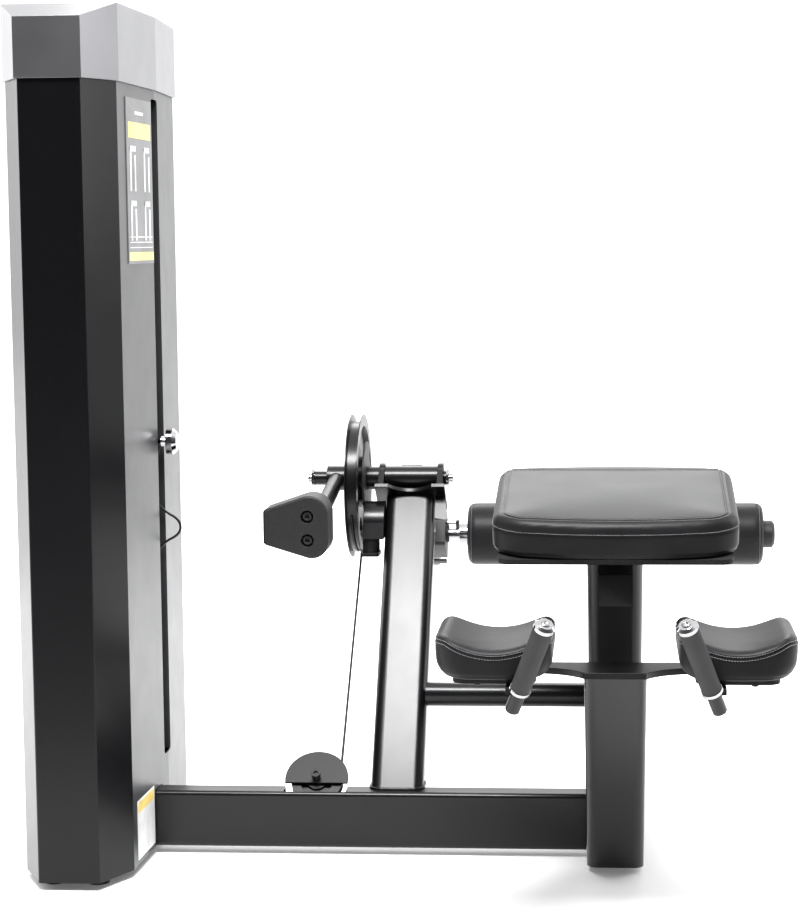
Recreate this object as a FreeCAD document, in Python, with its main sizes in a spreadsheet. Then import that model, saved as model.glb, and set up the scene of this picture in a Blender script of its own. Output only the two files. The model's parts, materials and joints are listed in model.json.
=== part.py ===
"""Prone leg curl machine with a weight tower, as a parametric FreeCAD document.

Millimetres, +Z up. The origin is on the floor, under the bench's front post: +X runs from the
weight tower towards the bench, +Y from the user's head towards the feet.
"""
import FreeCAD, Part
import math
import os
import re
import Sketcher

V = FreeCAD.Vector
X_AXIS = V(1, 0, 0)
Y_AXIS = V(0, 1, 0)
Z_AXIS = V(0, 0, 1)

DOC = FreeCAD.newDocument("prone_leg_curl")
SIZES = DOC.addObject("Spreadsheet::Sheet", "Sizes")

SIZE_TABLE = (
    # weight tower: an eight-sided shroud, widest at the fold beside the selector slot
    ("tower_x", -1019), ("tower_front", -259), ("tower_break", -167), ("tower_fold", 110),
    ("tower_rear", 350), ("front_half", 57), ("break_half", 104), ("fold_half", 117),
    ("rear_half", 106), ("shroud_foot", 15), ("shroud_top", 1505), ("skin", 2.5),
    ("cap_base", 1503), ("cap_front_top", 1613), ("cap_top", 1645), ("cap_lip", 5),
    ("slot_foot", 181), ("slot_top", 1485), ("slot_half", 30), ("slot_corner", 10), ("fold_bend", 6),
    ("base_inset", 20), ("beam_door", 1), ("platform_half", 64), ("shelf_thick", 8),
    ("tower_foot_radius", 20), ("base_plate", 12), ("frame_bar", 36), ("frame_bar_front", -150),
    ("frame_bar_rear", 300), ("crosshead", 1462), ("crosshead_plate", 14), ("tube_wall", 3),
    ("crosshead_half", 60),
    # weight stack, centred on the selector stem
    ("stem_y", 110), ("plate_half_x", 55), ("plate_half_y", 130), ("plate_pitch", 25.5),
    ("plate_thick", 24), ("rest_plates", 22), ("lift_plates", 2), ("stack_foot", 238),
    ("head_thick", 38), ("rod_spacing", 95), ("rod_radius", 12.5), ("stem_radius", 13),
    ("cushion_radius", 26), ("cushion_height", 30), ("pin_radius", 4.75), ("knob_radius", 26),
    ("knob_thick", 20), ("knob_x", -880),
    # floor members
    ("beam_depth", 56), ("beam_foot", 15), ("beam_top", 127), ("beam_wall", 3), ("beam_right", -56),
    ("floor_tube_width", 90), ("floor_tube_top", 75), ("floor_tube_front", -60),
    ("floor_tube_rear", 470), ("foot_height", 12),
    # bench posts: leaning tubes cut level at both ends
    ("front_lean", 42), ("front_width", 108), ("front_depth", 78), ("front_foot_y", -95),
    ("plate_z", 459), ("arm_plate_thick", 11), ("chest_lean", 35), ("chest_width", 104),
    ("chest_depth", 88), ("chest_front_y", 211), ("chest_post_top", 640), ("post_wall", 4),
    ("cross_radius", 24), ("cross_y", 132), ("cross_z", 297),
    ("rail_half", 30), ("rail_z", 640), ("rail_front", -470), ("rail_rear", 250), ("rail_end_foot", 578),
    ("rail_flat", 130),
    # pads
    ("pad_width", 424), ("pad_thick", 72), ("board_thick", 9), ("board_inset", 12),
    ("chest_pad_length", 335), ("chest_slope", 10.5), ("crest_y", -206), ("crest_z", 726),
    ("hip_pad_length", 530), ("hip_slope", -8.5),
    ("elbow_x", 203), ("elbow_width", 200), ("elbow_front", -638), ("elbow_length", 250),
    ("elbow_foot", 480), ("elbow_valley", 533), ("elbow_horn", 556), ("elbow_inset", 30),
    ("elbow_swell", 45), ("elbow_round", 14),
    # hand grips
    ("grip_foot_x", 171), ("grip_foot_y", -632), ("grip_foot_z", 432), ("grip_top_x", 112),
    ("grip_top_y", -728), ("grip_top_z", 593), ("grip_radius", 17), ("grip_tube_radius", 12.5),
    # leaning upright and its saddle
    ("upright_lean", 35), ("upright_x", -431), ("upright_width", 104), ("upright_depth", 62),
    ("upright_front_y", 25), ("pivot_y", 440), ("pivot_z", 701), ("hub_radius", 26),
    ("hub_half", 56), ("ear_thick", 12), ("saddle_drop", 38), ("saddle_thick", 8),
    ("saddle_half", 74), ("shaft_radius", 15), ("bearing_radius", 23),
    # cam wheel, set below the shaft's axis at rest
    ("cam_x", -546), ("cam_drop", 16), ("cam_radius", 152), ("cam_half", 13), ("cable_seat", 140),
    ("cable_radius", 2.5), ("cable_start", 52), ("start_disc_x", -528), ("start_disc_radius", 78),
    ("start_hole_reach", 64), ("start_slot_half", 4.7), ("hub_width", 22),
    # counterweight
    ("counter_x", -591), ("counter_tube", 16.5), ("counter_slope", 8), ("counter_front", 47),
    ("counter_depth", 80), ("counter_left", -691), ("counter_right", -562), ("counter_z", 646),
    # rest stop: a rubber bumper on the cam comes up against a lug on the upright
    ("bumper_radius", 18), ("bumper_height", 30), ("bumper_y", 368), ("bumper_top", 583),
    ("bumper_round", 8), ("bracket_thick", 8), ("bracket_front", 342), ("bracket_rear", 400),
    # movement arm and roller
    ("arm_angle", -26), ("arm_length", 378), ("arm_wide", 50), ("arm_deep", 62), ("arm_reach", 520),
    ("roller_radius", 70.5), ("roller_left", -333), ("roller_right", 336), ("roller_shaft_radius", 14.3),
    ("carriage_right", -383), ("carriage_wall", 12), ("adjust_travel", 60), ("end_cap_radius", 31),
    ("plunger_radius", 5.4), ("plunger_grip", 8),
    # cable pulleys
    ("pulley_seat", 45), ("pulley_flange", 6), ("pulley_half", 8), ("beam_pulley_y", 52),
    ("beam_pulley_z", 133), ("base_pulley_x", -1055),
    ("top_pulley_z", 1385), ("axle_radius", 5), ("guard_radius", 63),
    # fits
    ("run", 0.05), ("gap", 0.4), ("cable_ease", 0.3),
)


def fill_sheet():
    for row, (name, value) in enumerate(SIZE_TABLE, start=1):
        SIZES.set("A%d" % row, name)
        SIZES.set("B%d" % row, str(value))
        SIZES.setAlias("B%d" % row, name)
    DOC.recompute()


fill_sheet()
ALIASES = {name for name, value in SIZE_TABLE}
NODES = []


def bound(text):
    """Expression text with every alias written as a cell of the sheet."""
    return re.sub(r"[a-z_]+", lambda hit: "Sizes." + hit[0] if hit[0] in ALIASES else hit[0], str(text))


def num(text):
    return float(SIZES.evalExpression(bound(text)))


def point(at):
    return V(*[num(part) for part in at])


def bind(thing, **formulas):
    for name, text in formulas.items():
        thing.setExpression(name, bound(text))


def fresh(kind, name):
    return DOC.addObject(kind, name)


def node(thing, label):
    """Mark one object as a sub-part: its Label names its file."""
    for other in DOC.getObjectsByLabel(label):
        other.Label = label + "_base"
    thing.Label = label
    NODES.append(thing)
    return thing


def place(thing, at=(0, 0, 0), axis=X_AXIS, angle=0):
    thing.Placement = FreeCAD.Placement(point(at), FreeCAD.Rotation(axis, num(angle)))
    return thing


def aim(thing, at, along):
    """Put a primitive whose length runs along Z so that it starts at a point and runs another way."""
    thing.Placement = FreeCAD.Placement(point(at), FreeCAD.Rotation(Z_AXIS, along))
    return thing


def rod(name, radius, length, at, along=Z_AXIS):
    thing = fresh("Part::Cylinder", name)
    bind(thing, Radius=radius, Height=length)
    return aim(thing, at, along)


def cone(name, radius, tip_radius, length, at, along=Z_AXIS):
    thing = fresh("Part::Cone", name)
    bind(thing, Radius1=radius, Radius2=tip_radius, Height=length)
    return aim(thing, at, along)


def block(name, low, high):
    thing = fresh("Part::Box", name)
    bind(thing, Length="(%s) - (%s)" % (high[0], low[0]), Width="(%s) - (%s)" % (high[1], low[1]),
         Height="(%s) - (%s)" % (high[2], low[2]))
    return place(thing, low)


def cut(name, base, tools):
    """The base less each tool in turn."""
    for count, tool in enumerate(tools):
        result = fresh("Part::Cut", "%s_cut_%d" % (name, count))
        result.Base = base
        result.Tool = tool
        base = result
    return base


def fuse(name, pieces):
    result = fresh("Part::MultiFuse", name + "_joined")
    result.Shapes = pieces
    result.Refine = True
    return result


def group(name, pieces):
    result = fresh("Part::Compound", name + "_set")
    result.Links = pieces
    return result


def ring(name, outer, inner, length, at, along=Z_AXIS):
    body = rod(name + "_outer", outer, length, at, along)
    start = point(at) - along * 1.0
    bore = rod(name + "_bore", inner, "(%s) + 2" % length, tuple(start), along)
    return cut(name, body, [bore])


def rounded(base, radius, chosen):
    """Fillet the edges of base that chosen() picks."""
    DOC.recompute()
    result = fresh("Part::Fillet", base.Name + "_round")
    result.Base = base
    size = num(radius)
    result.Edges = [(i, size, size) for i, edge in enumerate(base.Shape.Edges, start=1) if chosen(edge)]
    return result


def along(axis):
    """A test for straight edges parallel to an axis."""
    def test(edge):
        if not isinstance(edge.Curve, Part.Line):
            return False
        return abs(edge.tangentAt(edge.FirstParameter).dot(axis)) > 0.999
    return test


def near_edge(spot):
    """A test for the straight edge parallel to Y that passes nearest to a spot."""
    def test(edge):
        if not along(Y_AXIS)(edge):
            return False
        middle = edge.CenterOfMass
        return abs(middle.x - spot.x) < 0.5 and abs(middle.z - spot.z) < 0.5
    return test


def post_edge(spots):
    """A test for straight edges parallel to Z that pass near any of the spots."""
    def test(edge):
        if not along(Z_AXIS)(edge):
            return False
        middle = edge.CenterOfMass
        return any(math.hypot(middle.x - spot.x, middle.y - spot.y) < 0.5 for spot in spots)
    return test


def rectangle(width, depth, radius, y="0"):
    """A rectangle with round corners, centred on x = 0 and y, as an outline."""
    far = "(%s) / 2" % width
    near = "((%s) / 2 - (%s))" % (width, radius)
    low = "(%s) - (%s) / 2" % (y, depth)
    high = "(%s) + (%s) / 2" % (y, depth)
    inset = "%s * 0.29289" % radius
    return [
        (near, low), (far, "%s + %s" % (low, radius), "%s - %s" % (far, inset), "%s + %s" % (low, inset)),
        (far, "%s - %s" % (high, radius)), (near, high, "%s - %s" % (far, inset), "%s - %s" % (high, inset)),
        ("-" + near, high),
        ("-" + far, "%s - %s" % (high, radius), "-(%s - %s)" % (far, inset), "%s - %s" % (high, inset)),
        ("-" + far, "%s + %s" % (low, radius)),
        ("-" + near, low, "-(%s - %s)" % (far, inset), "%s + %s" % (low, inset)),
    ]


def draw(sketch, outline):
    """Close an outline in a sketch. A vertex is (x, y), or (x, y, mid x, mid y) to come in on an arc."""
    corners = [V(num(v[0]), num(v[1]), 0) for v in outline]
    ends = {}
    for i, vertex in enumerate(outline):
        start = corners[i - 1]
        if len(vertex) == 4:
            edge = Part.Arc(start, V(num(vertex[2]), num(vertex[3]), 0), corners[i])
        else:
            edge = Part.LineSegment(start, corners[i])
        index = sketch.addGeometry(edge)
        forward = sketch.getPoint(index, 2).isEqual(corners[i], 1e-6)
        ends[i] = (index, 2 if forward else 1, 1 if forward else 2)
    count = len(outline)
    for i, vertex in enumerate(outline):
        index, tip, tail = ends[i]
        following = ends[(i + 1) % count]
        sketch.addConstraint(Sketcher.Constraint("Coincident", index, tip, following[0], following[2]))
        for kind, value, text in (("DistanceX", corners[i].x, vertex[0]), ("DistanceY", corners[i].y, vertex[1])):
            at = sketch.addConstraint(Sketcher.Constraint(kind, -1, 1, index, tip, value))
            sketch.setExpression("Constraints[%d]" % at, bound(text))


def sketch_on(body, plane, outlines=(), circles=()):
    sketch = body.newObject("Sketcher::SketchObject", body.Name + "_sketch")
    origin_plane = [part for part in body.Origin.OriginFeatures if part.Role == plane][0]
    sketch.AttachmentSupport = [(origin_plane, "")]
    sketch.MapMode = "FlatFace"
    for outline in outlines:
        draw(sketch, outline)
    for x, y, radius in circles:
        circle = Part.Circle(V(num(x), num(y), 0), Z_AXIS, num(radius))
        index = sketch.addGeometry(circle)
        for kind, value, text in (("DistanceX", num(x), x), ("DistanceY", num(y), y)):
            at = sketch.addConstraint(Sketcher.Constraint(kind, -1, 1, index, 3, value))
            sketch.setExpression("Constraints[%d]" % at, bound(text))
        at = sketch.addConstraint(Sketcher.Constraint("Radius", index, num(radius)))
        sketch.setExpression("Constraints[%d]" % at, bound(radius))
    return sketch


def prism(name, plane, outlines, length, circles=(), middle=False, lean=None):
    """A PartDesign body: outlines on one of its planes, padded straight or along a lean."""
    body = fresh("PartDesign::Body", name)
    pad = body.newObject("PartDesign::Pad", name + "_pad")
    pad.Profile = sketch_on(body, plane, outlines, circles)
    bind(pad, Length=length)
    if middle:
        pad.SideType = "Symmetric"
    if lean is not None:
        pad.UseCustomVector = True
        pad.Direction = lean
        pad.AlongSketchNormal = True
    return body


def pocket(body, plane, outlines=(), circles=()):
    """Cut outlines right through a body, both ways from one of its planes."""
    DOC.recompute()
    before = body.Shape.Volume
    feature = body.newObject("PartDesign::Pocket", body.Name + "_pocket")
    feature.Profile = sketch_on(body, plane, outlines, circles)
    feature.Type = "ThroughAll"
    feature.SideType = "Symmetric"
    DOC.recompute()
    assert feature.Shape.Volume < before - 1, body.Name
    return body


def revolve(name, plane, outline, axis_name):
    """A PartDesign body turned about one of its own axes."""
    body = fresh("PartDesign::Body", name)
    feature = body.newObject("PartDesign::Revolution", name + "_turn")
    feature.Profile = sketch_on(body, plane, [outline])
    feature.ReferenceAxis = ([part for part in body.Origin.OriginFeatures if part.Role == axis_name][0], [""])
    feature.Angle = 360
    return body


def lean_back(angle):
    """The way a member leans: up, and away from the head end by an angle in degrees."""
    turn = math.radians(num(angle))
    return V(0, math.sin(turn), math.cos(turn))


def mirror(text):
    return "-(%s)" % text


# ---------------------------------------------------------------- weight tower

def shroud_points(side, inset):
    """The shroud's corners on one side of the tower, from front to rear, moved in by inset."""
    def at(half, y):
        x = "%s - (%s)" % (half, inset)
        return (x if side > 0 else mirror(x), y)
    return [at("front_half", "tower_front + (%s)" % inset), at("break_half", "tower_break"),
            at("fold_half", "tower_fold"), at("rear_half", "tower_rear - (%s)" % inset)]


def shroud_front():
    right = shroud_points(1, "0")[:2]
    left = shroud_points(-1, "0")[:2]
    right_in = shroud_points(1, "skin")[:2]
    left_in = shroud_points(-1, "skin")[:2]
    outline = [left[1], left[0], right[0], right[1], right_in[1], right_in[0], left_in[0], left_in[1]]
    body = prism("shroud_front_form", "XY_Plane", [outline], "shroud_top - shroud_foot")
    place(body, ("tower_x", 0, "shroud_foot"))
    for inset, bend in (("0", "fold_bend"), ("skin", "fold_bend - skin")):
        spots = [point(("tower_x %s (front_half - %s)" % (sign, inset), "tower_front + " + inset, 0)) for sign in "+-"]
        body = rounded(body, bend, post_edge(spots))
    node(body, "shroud_front")


def shroud_side(label, side):
    outer = shroud_points(side, "0")[1:]
    inner = shroud_points(side, "skin")[1:]
    outer[0] = (outer[0][0], "tower_break + gap")
    inner[0] = (inner[0][0], "tower_break + gap")
    outer[2] = (outer[2][0], "tower_rear")
    inner[2] = (inner[2][0], "tower_rear")
    body = prism(label, "XY_Plane", [outer + inner[::-1]], "shroud_top - shroud_foot")
    if side > 0:
        middle = "(slot_foot + slot_top) / 2 - shroud_foot"
        slot = [move_in(v, "stem_y", middle) for v in rectangle("2 * slot_half", "slot_top - slot_foot", "slot_corner")]
        near = "0 - beam_door"
        far = "beam_depth + beam_door"
        low = "0 - 1"
        high = "beam_top - shroud_foot + beam_door"
        pocket(body, "YZ_Plane", [slot, [(near, low), (far, low), (far, high), (near, high)]])
    node(place(body, ("tower_x", 0, "shroud_foot")), label)


def shroud_rear():
    width = "rear_half - skin - gap"
    body = block("shroud_rear", ("tower_x - (%s)" % width, "tower_rear - skin", "shroud_foot"),
                 ("tower_x + %s" % width, "tower_rear", "shroud_top"))
    node(body, "shroud_rear")


def cap_form(name, inset, top_drop):
    """The cap as a solid, moved in by inset: its front slopes up from the face to the flat top."""
    right = shroud_points(1, inset)
    left = shroud_points(-1, inset)
    body = prism(name, "XY_Plane", [left[::-1] + right], "cap_top - cap_base - %s" % top_drop)
    front = "tower_front - cap_lip - 1"
    edge = "cap_front_top - cap_base - %s" % top_drop
    over = "cap_top - cap_base + 1"
    pocket(body, "YZ_Plane", [[(front, edge), ("tower_break", "cap_top - cap_base - %s" % top_drop),
                               ("tower_break", over), (front, over)]])
    return place(body, ("tower_x", 0, "cap_base"))


def tower_cap():
    outer = cap_form("cap_outer", "0 - cap_lip", "0")
    inner = cap_form("cap_inner", "0 - gap", "3.5")
    node(cut("tower_cap", outer, [inner]), "tower_cap")


def tower_base():
    """Base plate, and the raised platform that the weight stack stands on."""
    plate = prism("base_plate_form", "XY_Plane", [[
        ("-(fold_half - base_inset)", "tower_break + 5"), ("-(front_half - 6)", "tower_front + 8"),
        ("front_half - 6", "tower_front + 8"), ("fold_half - base_inset", "tower_break + 5"),
        ("fold_half - base_inset", "tower_rear - 10"), ("-(fold_half - base_inset)", "tower_rear - 10")]], "base_plate")
    place(plate, ("tower_x", 0, "shroud_foot"))
    floor = "shroud_foot + base_plate"
    under = "stack_foot - cushion_height"
    left = "tower_x - platform_half"
    right = "tower_x + platform_half"
    below = "(%s) - shelf_thick" % under
    shelf = block("platform_shelf", (left, "stem_y - plate_half_y - 12", below),
                  (right, "stem_y + plate_half_y + 12", under))
    front_leg = block("platform_front_leg", (left, "stem_y - plate_half_y - 12", floor),
                      (right, "stem_y - plate_half_y - 2", below))
    rear_leg = block("platform_rear_leg", (left, "stem_y + plate_half_y + 2", floor),
                     (right, "stem_y + plate_half_y + 12", below))
    node(fuse("tower_base", [plate, shelf, front_leg, rear_leg]), "tower_base")


def tower_feet():
    feet = []
    for x in ("tower_x - 42", "tower_x + 42"):
        for y in ("tower_front + 62", "tower_rear - 45"):
            name = "tower_foot_%d" % len(feet)
            feet.append(rod(name, "tower_foot_radius", "shroud_foot", (x, y, 0)))
    node(group("tower_feet", feet), "tower_feet")


def tower_frame():
    """Two square posts with a crosshead plate that holds the guide rods' upper ends."""
    half = "frame_bar / 2"
    floor = "shroud_foot + base_plate"
    pieces = []
    for y in ("frame_bar_front", "frame_bar_rear"):
        name = "tower_post_%d" % len(pieces)
        bar = block(name, ("tower_x - " + half, "%s - %s" % (y, half), floor),
                    ("tower_x + " + half, "%s + %s" % (y, half), "crosshead"))
        inside = "%s - tube_wall" % half
        hollow = block(name + "_bore", ("tower_x - (%s)" % inside, "%s - (%s)" % (y, inside), floor + " - 1"),
                       ("tower_x + (%s)" % inside, "%s + (%s)" % (y, inside), "crosshead - tube_wall"))
        pieces.append(cut(name, bar, [hollow]))
    head = block("crosshead_form", ("tower_x - crosshead_half", "frame_bar_front - " + half, "crosshead"),
                 ("tower_x + crosshead_half", "frame_bar_rear + " + half, "crosshead + crosshead_plate"))
    pieces.append(head)
    node(fuse("tower_frame", pieces), "tower_frame")


def rod_places():
    return [("tower_x", "stem_y - rod_spacing"), ("tower_x", "stem_y + rod_spacing")]


def guide_rods():
    shelf = "stack_foot - cushion_height"
    rods = [rod("guide_rod_%d" % i, "rod_radius", "crosshead - (%s)" % shelf, (x, y, shelf))
            for i, (x, y) in enumerate(rod_places())]
    node(group("guide_rods", rods), "guide_rods")


def stack_cushions():
    shelf = "stack_foot - cushion_height"
    rings = [ring("cushion_%d" % i, "cushion_radius", "rod_radius + run", "cushion_height", (x, y, shelf))
             for i, (x, y) in enumerate(rod_places())]
    node(group("stack_cushions", rings), "stack_cushions")


def weight_plate(name, foot, pin_hole):
    """One steel plate: two guide holes, a stem hole, and a cross hole for the selector pin."""
    body = prism(name, "XY_Plane", [rectangle("2 * plate_half_x", "2 * plate_half_y", "10")], "plate_thick",
                 circles=[(0, "-rod_spacing", "rod_radius + 0.8"), (0, "rod_spacing", "rod_radius + 0.8"),
                          (0, 0, "stem_radius + 0.8")])
    place(body, ("tower_x", "stem_y", foot))
    if not pin_hole:
        return body
    hole = rod(name + "_hole", "pin_radius + 0.5", "plate_half_x + 20",
               ("tower_x + 5", "stem_y", "%s + plate_thick / 2" % foot), X_AXIS)
    return cut(name, body, [hole])


def weight_stack():
    rest = int(num("rest_plates"))
    lift = int(num("lift_plates"))
    plates = []
    for i in range(rest + lift):
        foot = "stack_foot + %d * plate_pitch" % i
        plates.append(weight_plate("weight_plate_%d" % i, foot, True))
    node(group("lower_plates", plates[:rest]), "lower_plates")
    node(group("lifted_plates", plates[rest:]), "lifted_plates")
    foot = "stack_foot + (rest_plates + lift_plates) * plate_pitch"
    head = prism("head_form", "XY_Plane", [rectangle("2 * plate_half_x", "2 * plate_half_y", "10")],
                 "head_thick", circles=[(0, "-rod_spacing", "rod_radius + 0.15"),
                                        (0, "rod_spacing", "rod_radius + 0.15")])
    place(head, ("tower_x", "stem_y", foot))
    stem = rod("stem_form", "stem_radius", "(rest_plates + lift_plates) * plate_pitch - 6",
               ("tower_x", "stem_y", "stack_foot + 6"))
    fitting = cone("stem_fitting", "14", "7", "42", ("tower_x", "stem_y", "%s + head_thick" % foot))
    whole = fuse("selector_stem", [head, stem, fitting])
    pin_z = "stack_foot + (rest_plates + 0.5) * plate_pitch - 0.75"
    bore = rod("stem_pin_bore", "pin_radius + run", "200", ("tower_x - 12", "stem_y", pin_z), X_AXIS)
    node(cut("selector_stem", whole, [bore]), "selector_stem")


def selector_pin():
    pin_z = "stack_foot + (rest_plates + 0.5) * plate_pitch - 0.75"
    shank = rod("pin_shank", "pin_radius", "knob_x - tower_x", ("tower_x", "stem_y", pin_z), X_AXIS)
    neck = cone("pin_neck", "11", "8", "14", ("knob_x - 22", "stem_y", pin_z), X_AXIS)
    knob = rod("pin_knob", "knob_radius", "knob_thick - 8", ("knob_x - 10", "stem_y", pin_z), X_AXIS)
    face = cone("pin_face", "knob_radius", "knob_radius - 7", "8", ("knob_x + 2", "stem_y", pin_z), X_AXIS)
    node(fuse("selector_pin", [shank, neck, knob, face]), "selector_pin")


# ---------------------------------------------------------------- floor members and bench

def base_beam():
    depth = "beam_depth"
    height = "beam_top - beam_foot"
    middle = "(beam_top + beam_foot) / 2"
    outer = [(move_in(v, "%s / 2" % depth, middle)) for v in rectangle(depth, height, "9")]
    inner = [(move_in(v, "%s / 2" % depth, middle))
             for v in rectangle("%s - 2 * beam_wall" % depth, "%s - 2 * beam_wall" % height, "6")]
    left = "tower_x + fold_half - base_inset"
    body = prism("base_beam", "YZ_Plane", [outer, inner], "beam_right - (%s)" % left)
    place(body, (left, 0, 0))
    mouth = block("beam_mouth", ("cam_x - pulley_seat - 64", "beam_wall + 3", "beam_top - 20"),
                  ("cam_x + 16", "beam_depth + 1", "beam_top + 10"))
    node(cut("base_beam", body, [mouth]), "base_beam")


def move_in(vertex, x, y):
    """An outline's vertex, moved by x and y."""
    shift = [x, y, x, y]
    return tuple("(%s) + (%s)" % (value, step) for value, step in zip(vertex, shift))


def floor_members():
    floor_tube = block("floor_tube", ("-floor_tube_width / 2", "floor_tube_front", "foot_height"),
                       ("floor_tube_width / 2", "floor_tube_rear", "floor_tube_top"))
    bore = block("floor_tube_bore", ("post_wall - floor_tube_width / 2", "floor_tube_front - 1", "foot_height + post_wall"),
                 ("floor_tube_width / 2 - post_wall", "floor_tube_rear + 1", "floor_tube_top - post_wall"))
    node(cut("floor_tube", rounded(floor_tube, "8", along(Y_AXIS)), [bore]), "floor_tube")
    feet = [
        rod("front_foot", "40", "foot_height", (0, 0, 0)),
        rod("rear_foot", "40", "foot_height", (0, "floor_tube_rear - 50", 0)),
    ]
    node(group("floor_feet", feet), "floor_feet")


def leaning_tube(name, width, depth, radius, foot_z, top_z, front_y, lean, x="0"):
    """A hollow post cut level at both ends; front_y is its front face at the foot."""
    middle = "(%s) / 2" % depth
    outlines = [rectangle(width, depth, radius, middle),
                rectangle("%s - 2 * post_wall" % width, "%s - 2 * post_wall" % depth,
                          "%s - post_wall" % radius, middle)]
    body = prism(name, "XY_Plane", outlines, "(%s) - (%s)" % (top_z, foot_z), lean=lean)
    return place(body, (x, front_y, foot_z))


def front_post():
    way = lean_back("0 - front_lean")
    post = leaning_tube("front_post_form", "front_width", "front_depth", "20", "foot_height",
                        "plate_z", "front_foot_y - foot_height * tan(front_lean)", way)
    tube = block("front_post_notch", ("-floor_tube_width / 2 - gap", "floor_tube_front", "foot_height - 1"),
                 ("floor_tube_width / 2 + gap", "floor_tube_front + 300", "floor_tube_top + gap"))
    node(cut("front_post", post, [tube]), "front_post")


def chest_post():
    way = lean_back("0 - chest_lean")
    post = leaning_tube("chest_post", "chest_width", "chest_depth", "20", "floor_tube_top",
                        "chest_post_top - rail_half", "chest_front_y - floor_tube_top * tan(chest_lean) + 45", way)
    node(post, "chest_post")


def rail_form(name, wall, reach):
    """The rail under the pads, moved in by wall and made longer by reach at both ends."""
    low = "rail_end_foot + %s" % wall
    flat = "rail_z - rail_half + %s" % wall
    front = "rail_front - %s" % reach
    rear = "rail_rear + %s" % reach
    outline = [(front, low), ("crest_y + 20", flat), ("crest_y + 20 + rail_flat", flat), (rear, low),
               (rear, "rail_z - 10 - %s" % wall), ("crest_y", "rail_z + 42 - %s" % wall),
               (front, "rail_z - 6 - %s" % wall)]
    return prism(name, "YZ_Plane", [outline], "2 * (rail_half - %s)" % wall, middle=True)


def bench_rail():
    outer = rail_form("rail_outer", "0", "0")
    inner = rail_form("rail_inner", "tube_wall", "1")
    node(cut("bench_rail", outer, [inner]), "bench_rail")


def cross_tube():
    left = "upright_x + upright_width / 2"
    node(ring("cross_tube", "cross_radius", "cross_radius - tube_wall", "0 - chest_width / 2 - (%s)" % left,
              (left, "cross_y", "cross_z"), X_AXIS), "cross_tube")


def elbow_plate():
    """A flat plate on the front post whose two arms carry the elbow pads and the grips."""
    rear = "0 - 415"
    front = "0 - 512"
    arm_front = "0 - 466"
    tab_front = "0 - 640"
    half = [("52", front), ("118", arm_front, "84", "0 - 480"), ("150", arm_front), ("150", tab_front),
            ("182", tab_front), ("182", arm_front), ("270", arm_front), ("270", rear)]
    other = [(mirror(v[0]), v[1]) for v in half[::-1]]
    other[-1] = (mirror(half[0][0]), front, mirror("84"), "0 - 480")
    outline = half + other
    body = place(prism("elbow_plate_form", "XY_Plane", [outline], "arm_plate_thick"), (0, 0, "plate_z"))
    seats = []
    for name, sign in (("left", -1), ("right", 1)):
        foot, way, length = grip_line(sign)
        seats.append(rod("grip_seat_" + name, "grip_tube_radius + run", length, tuple(foot), way))
    node(cut("elbow_plate", body, seats), "elbow_plate")


def grip_line(sign):
    """Lower end, direction and length of the grip on one side."""
    foot = point(("grip_foot_x", "grip_foot_y", "grip_foot_z"))
    top = point(("grip_top_x", "grip_top_y", "grip_top_z"))
    foot.x *= sign
    top.x *= sign
    return foot, (top - foot).normalize(), (top - foot).Length


def bench_pad(name, length, slope, front_y, front_z, label):
    """A cushion block on its board, tilted about its front edge."""
    form = fresh("Part::Box", name)
    bind(form, Length="pad_width", Width=length, Height="pad_thick")
    form = rounded(form, "16", lambda edge: True)
    place(form, ("0 - pad_width / 2", front_y, front_z), X_AXIS, slope)
    node(form, label)


def board(name, width, length, at, slope):
    form = fresh("Part::Box", name)
    bind(form, Length=width, Width=length, Height="board_thick")
    form = rounded(form, "20", along(Z_AXIS))
    return place(form, at, X_AXIS, slope)


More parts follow.
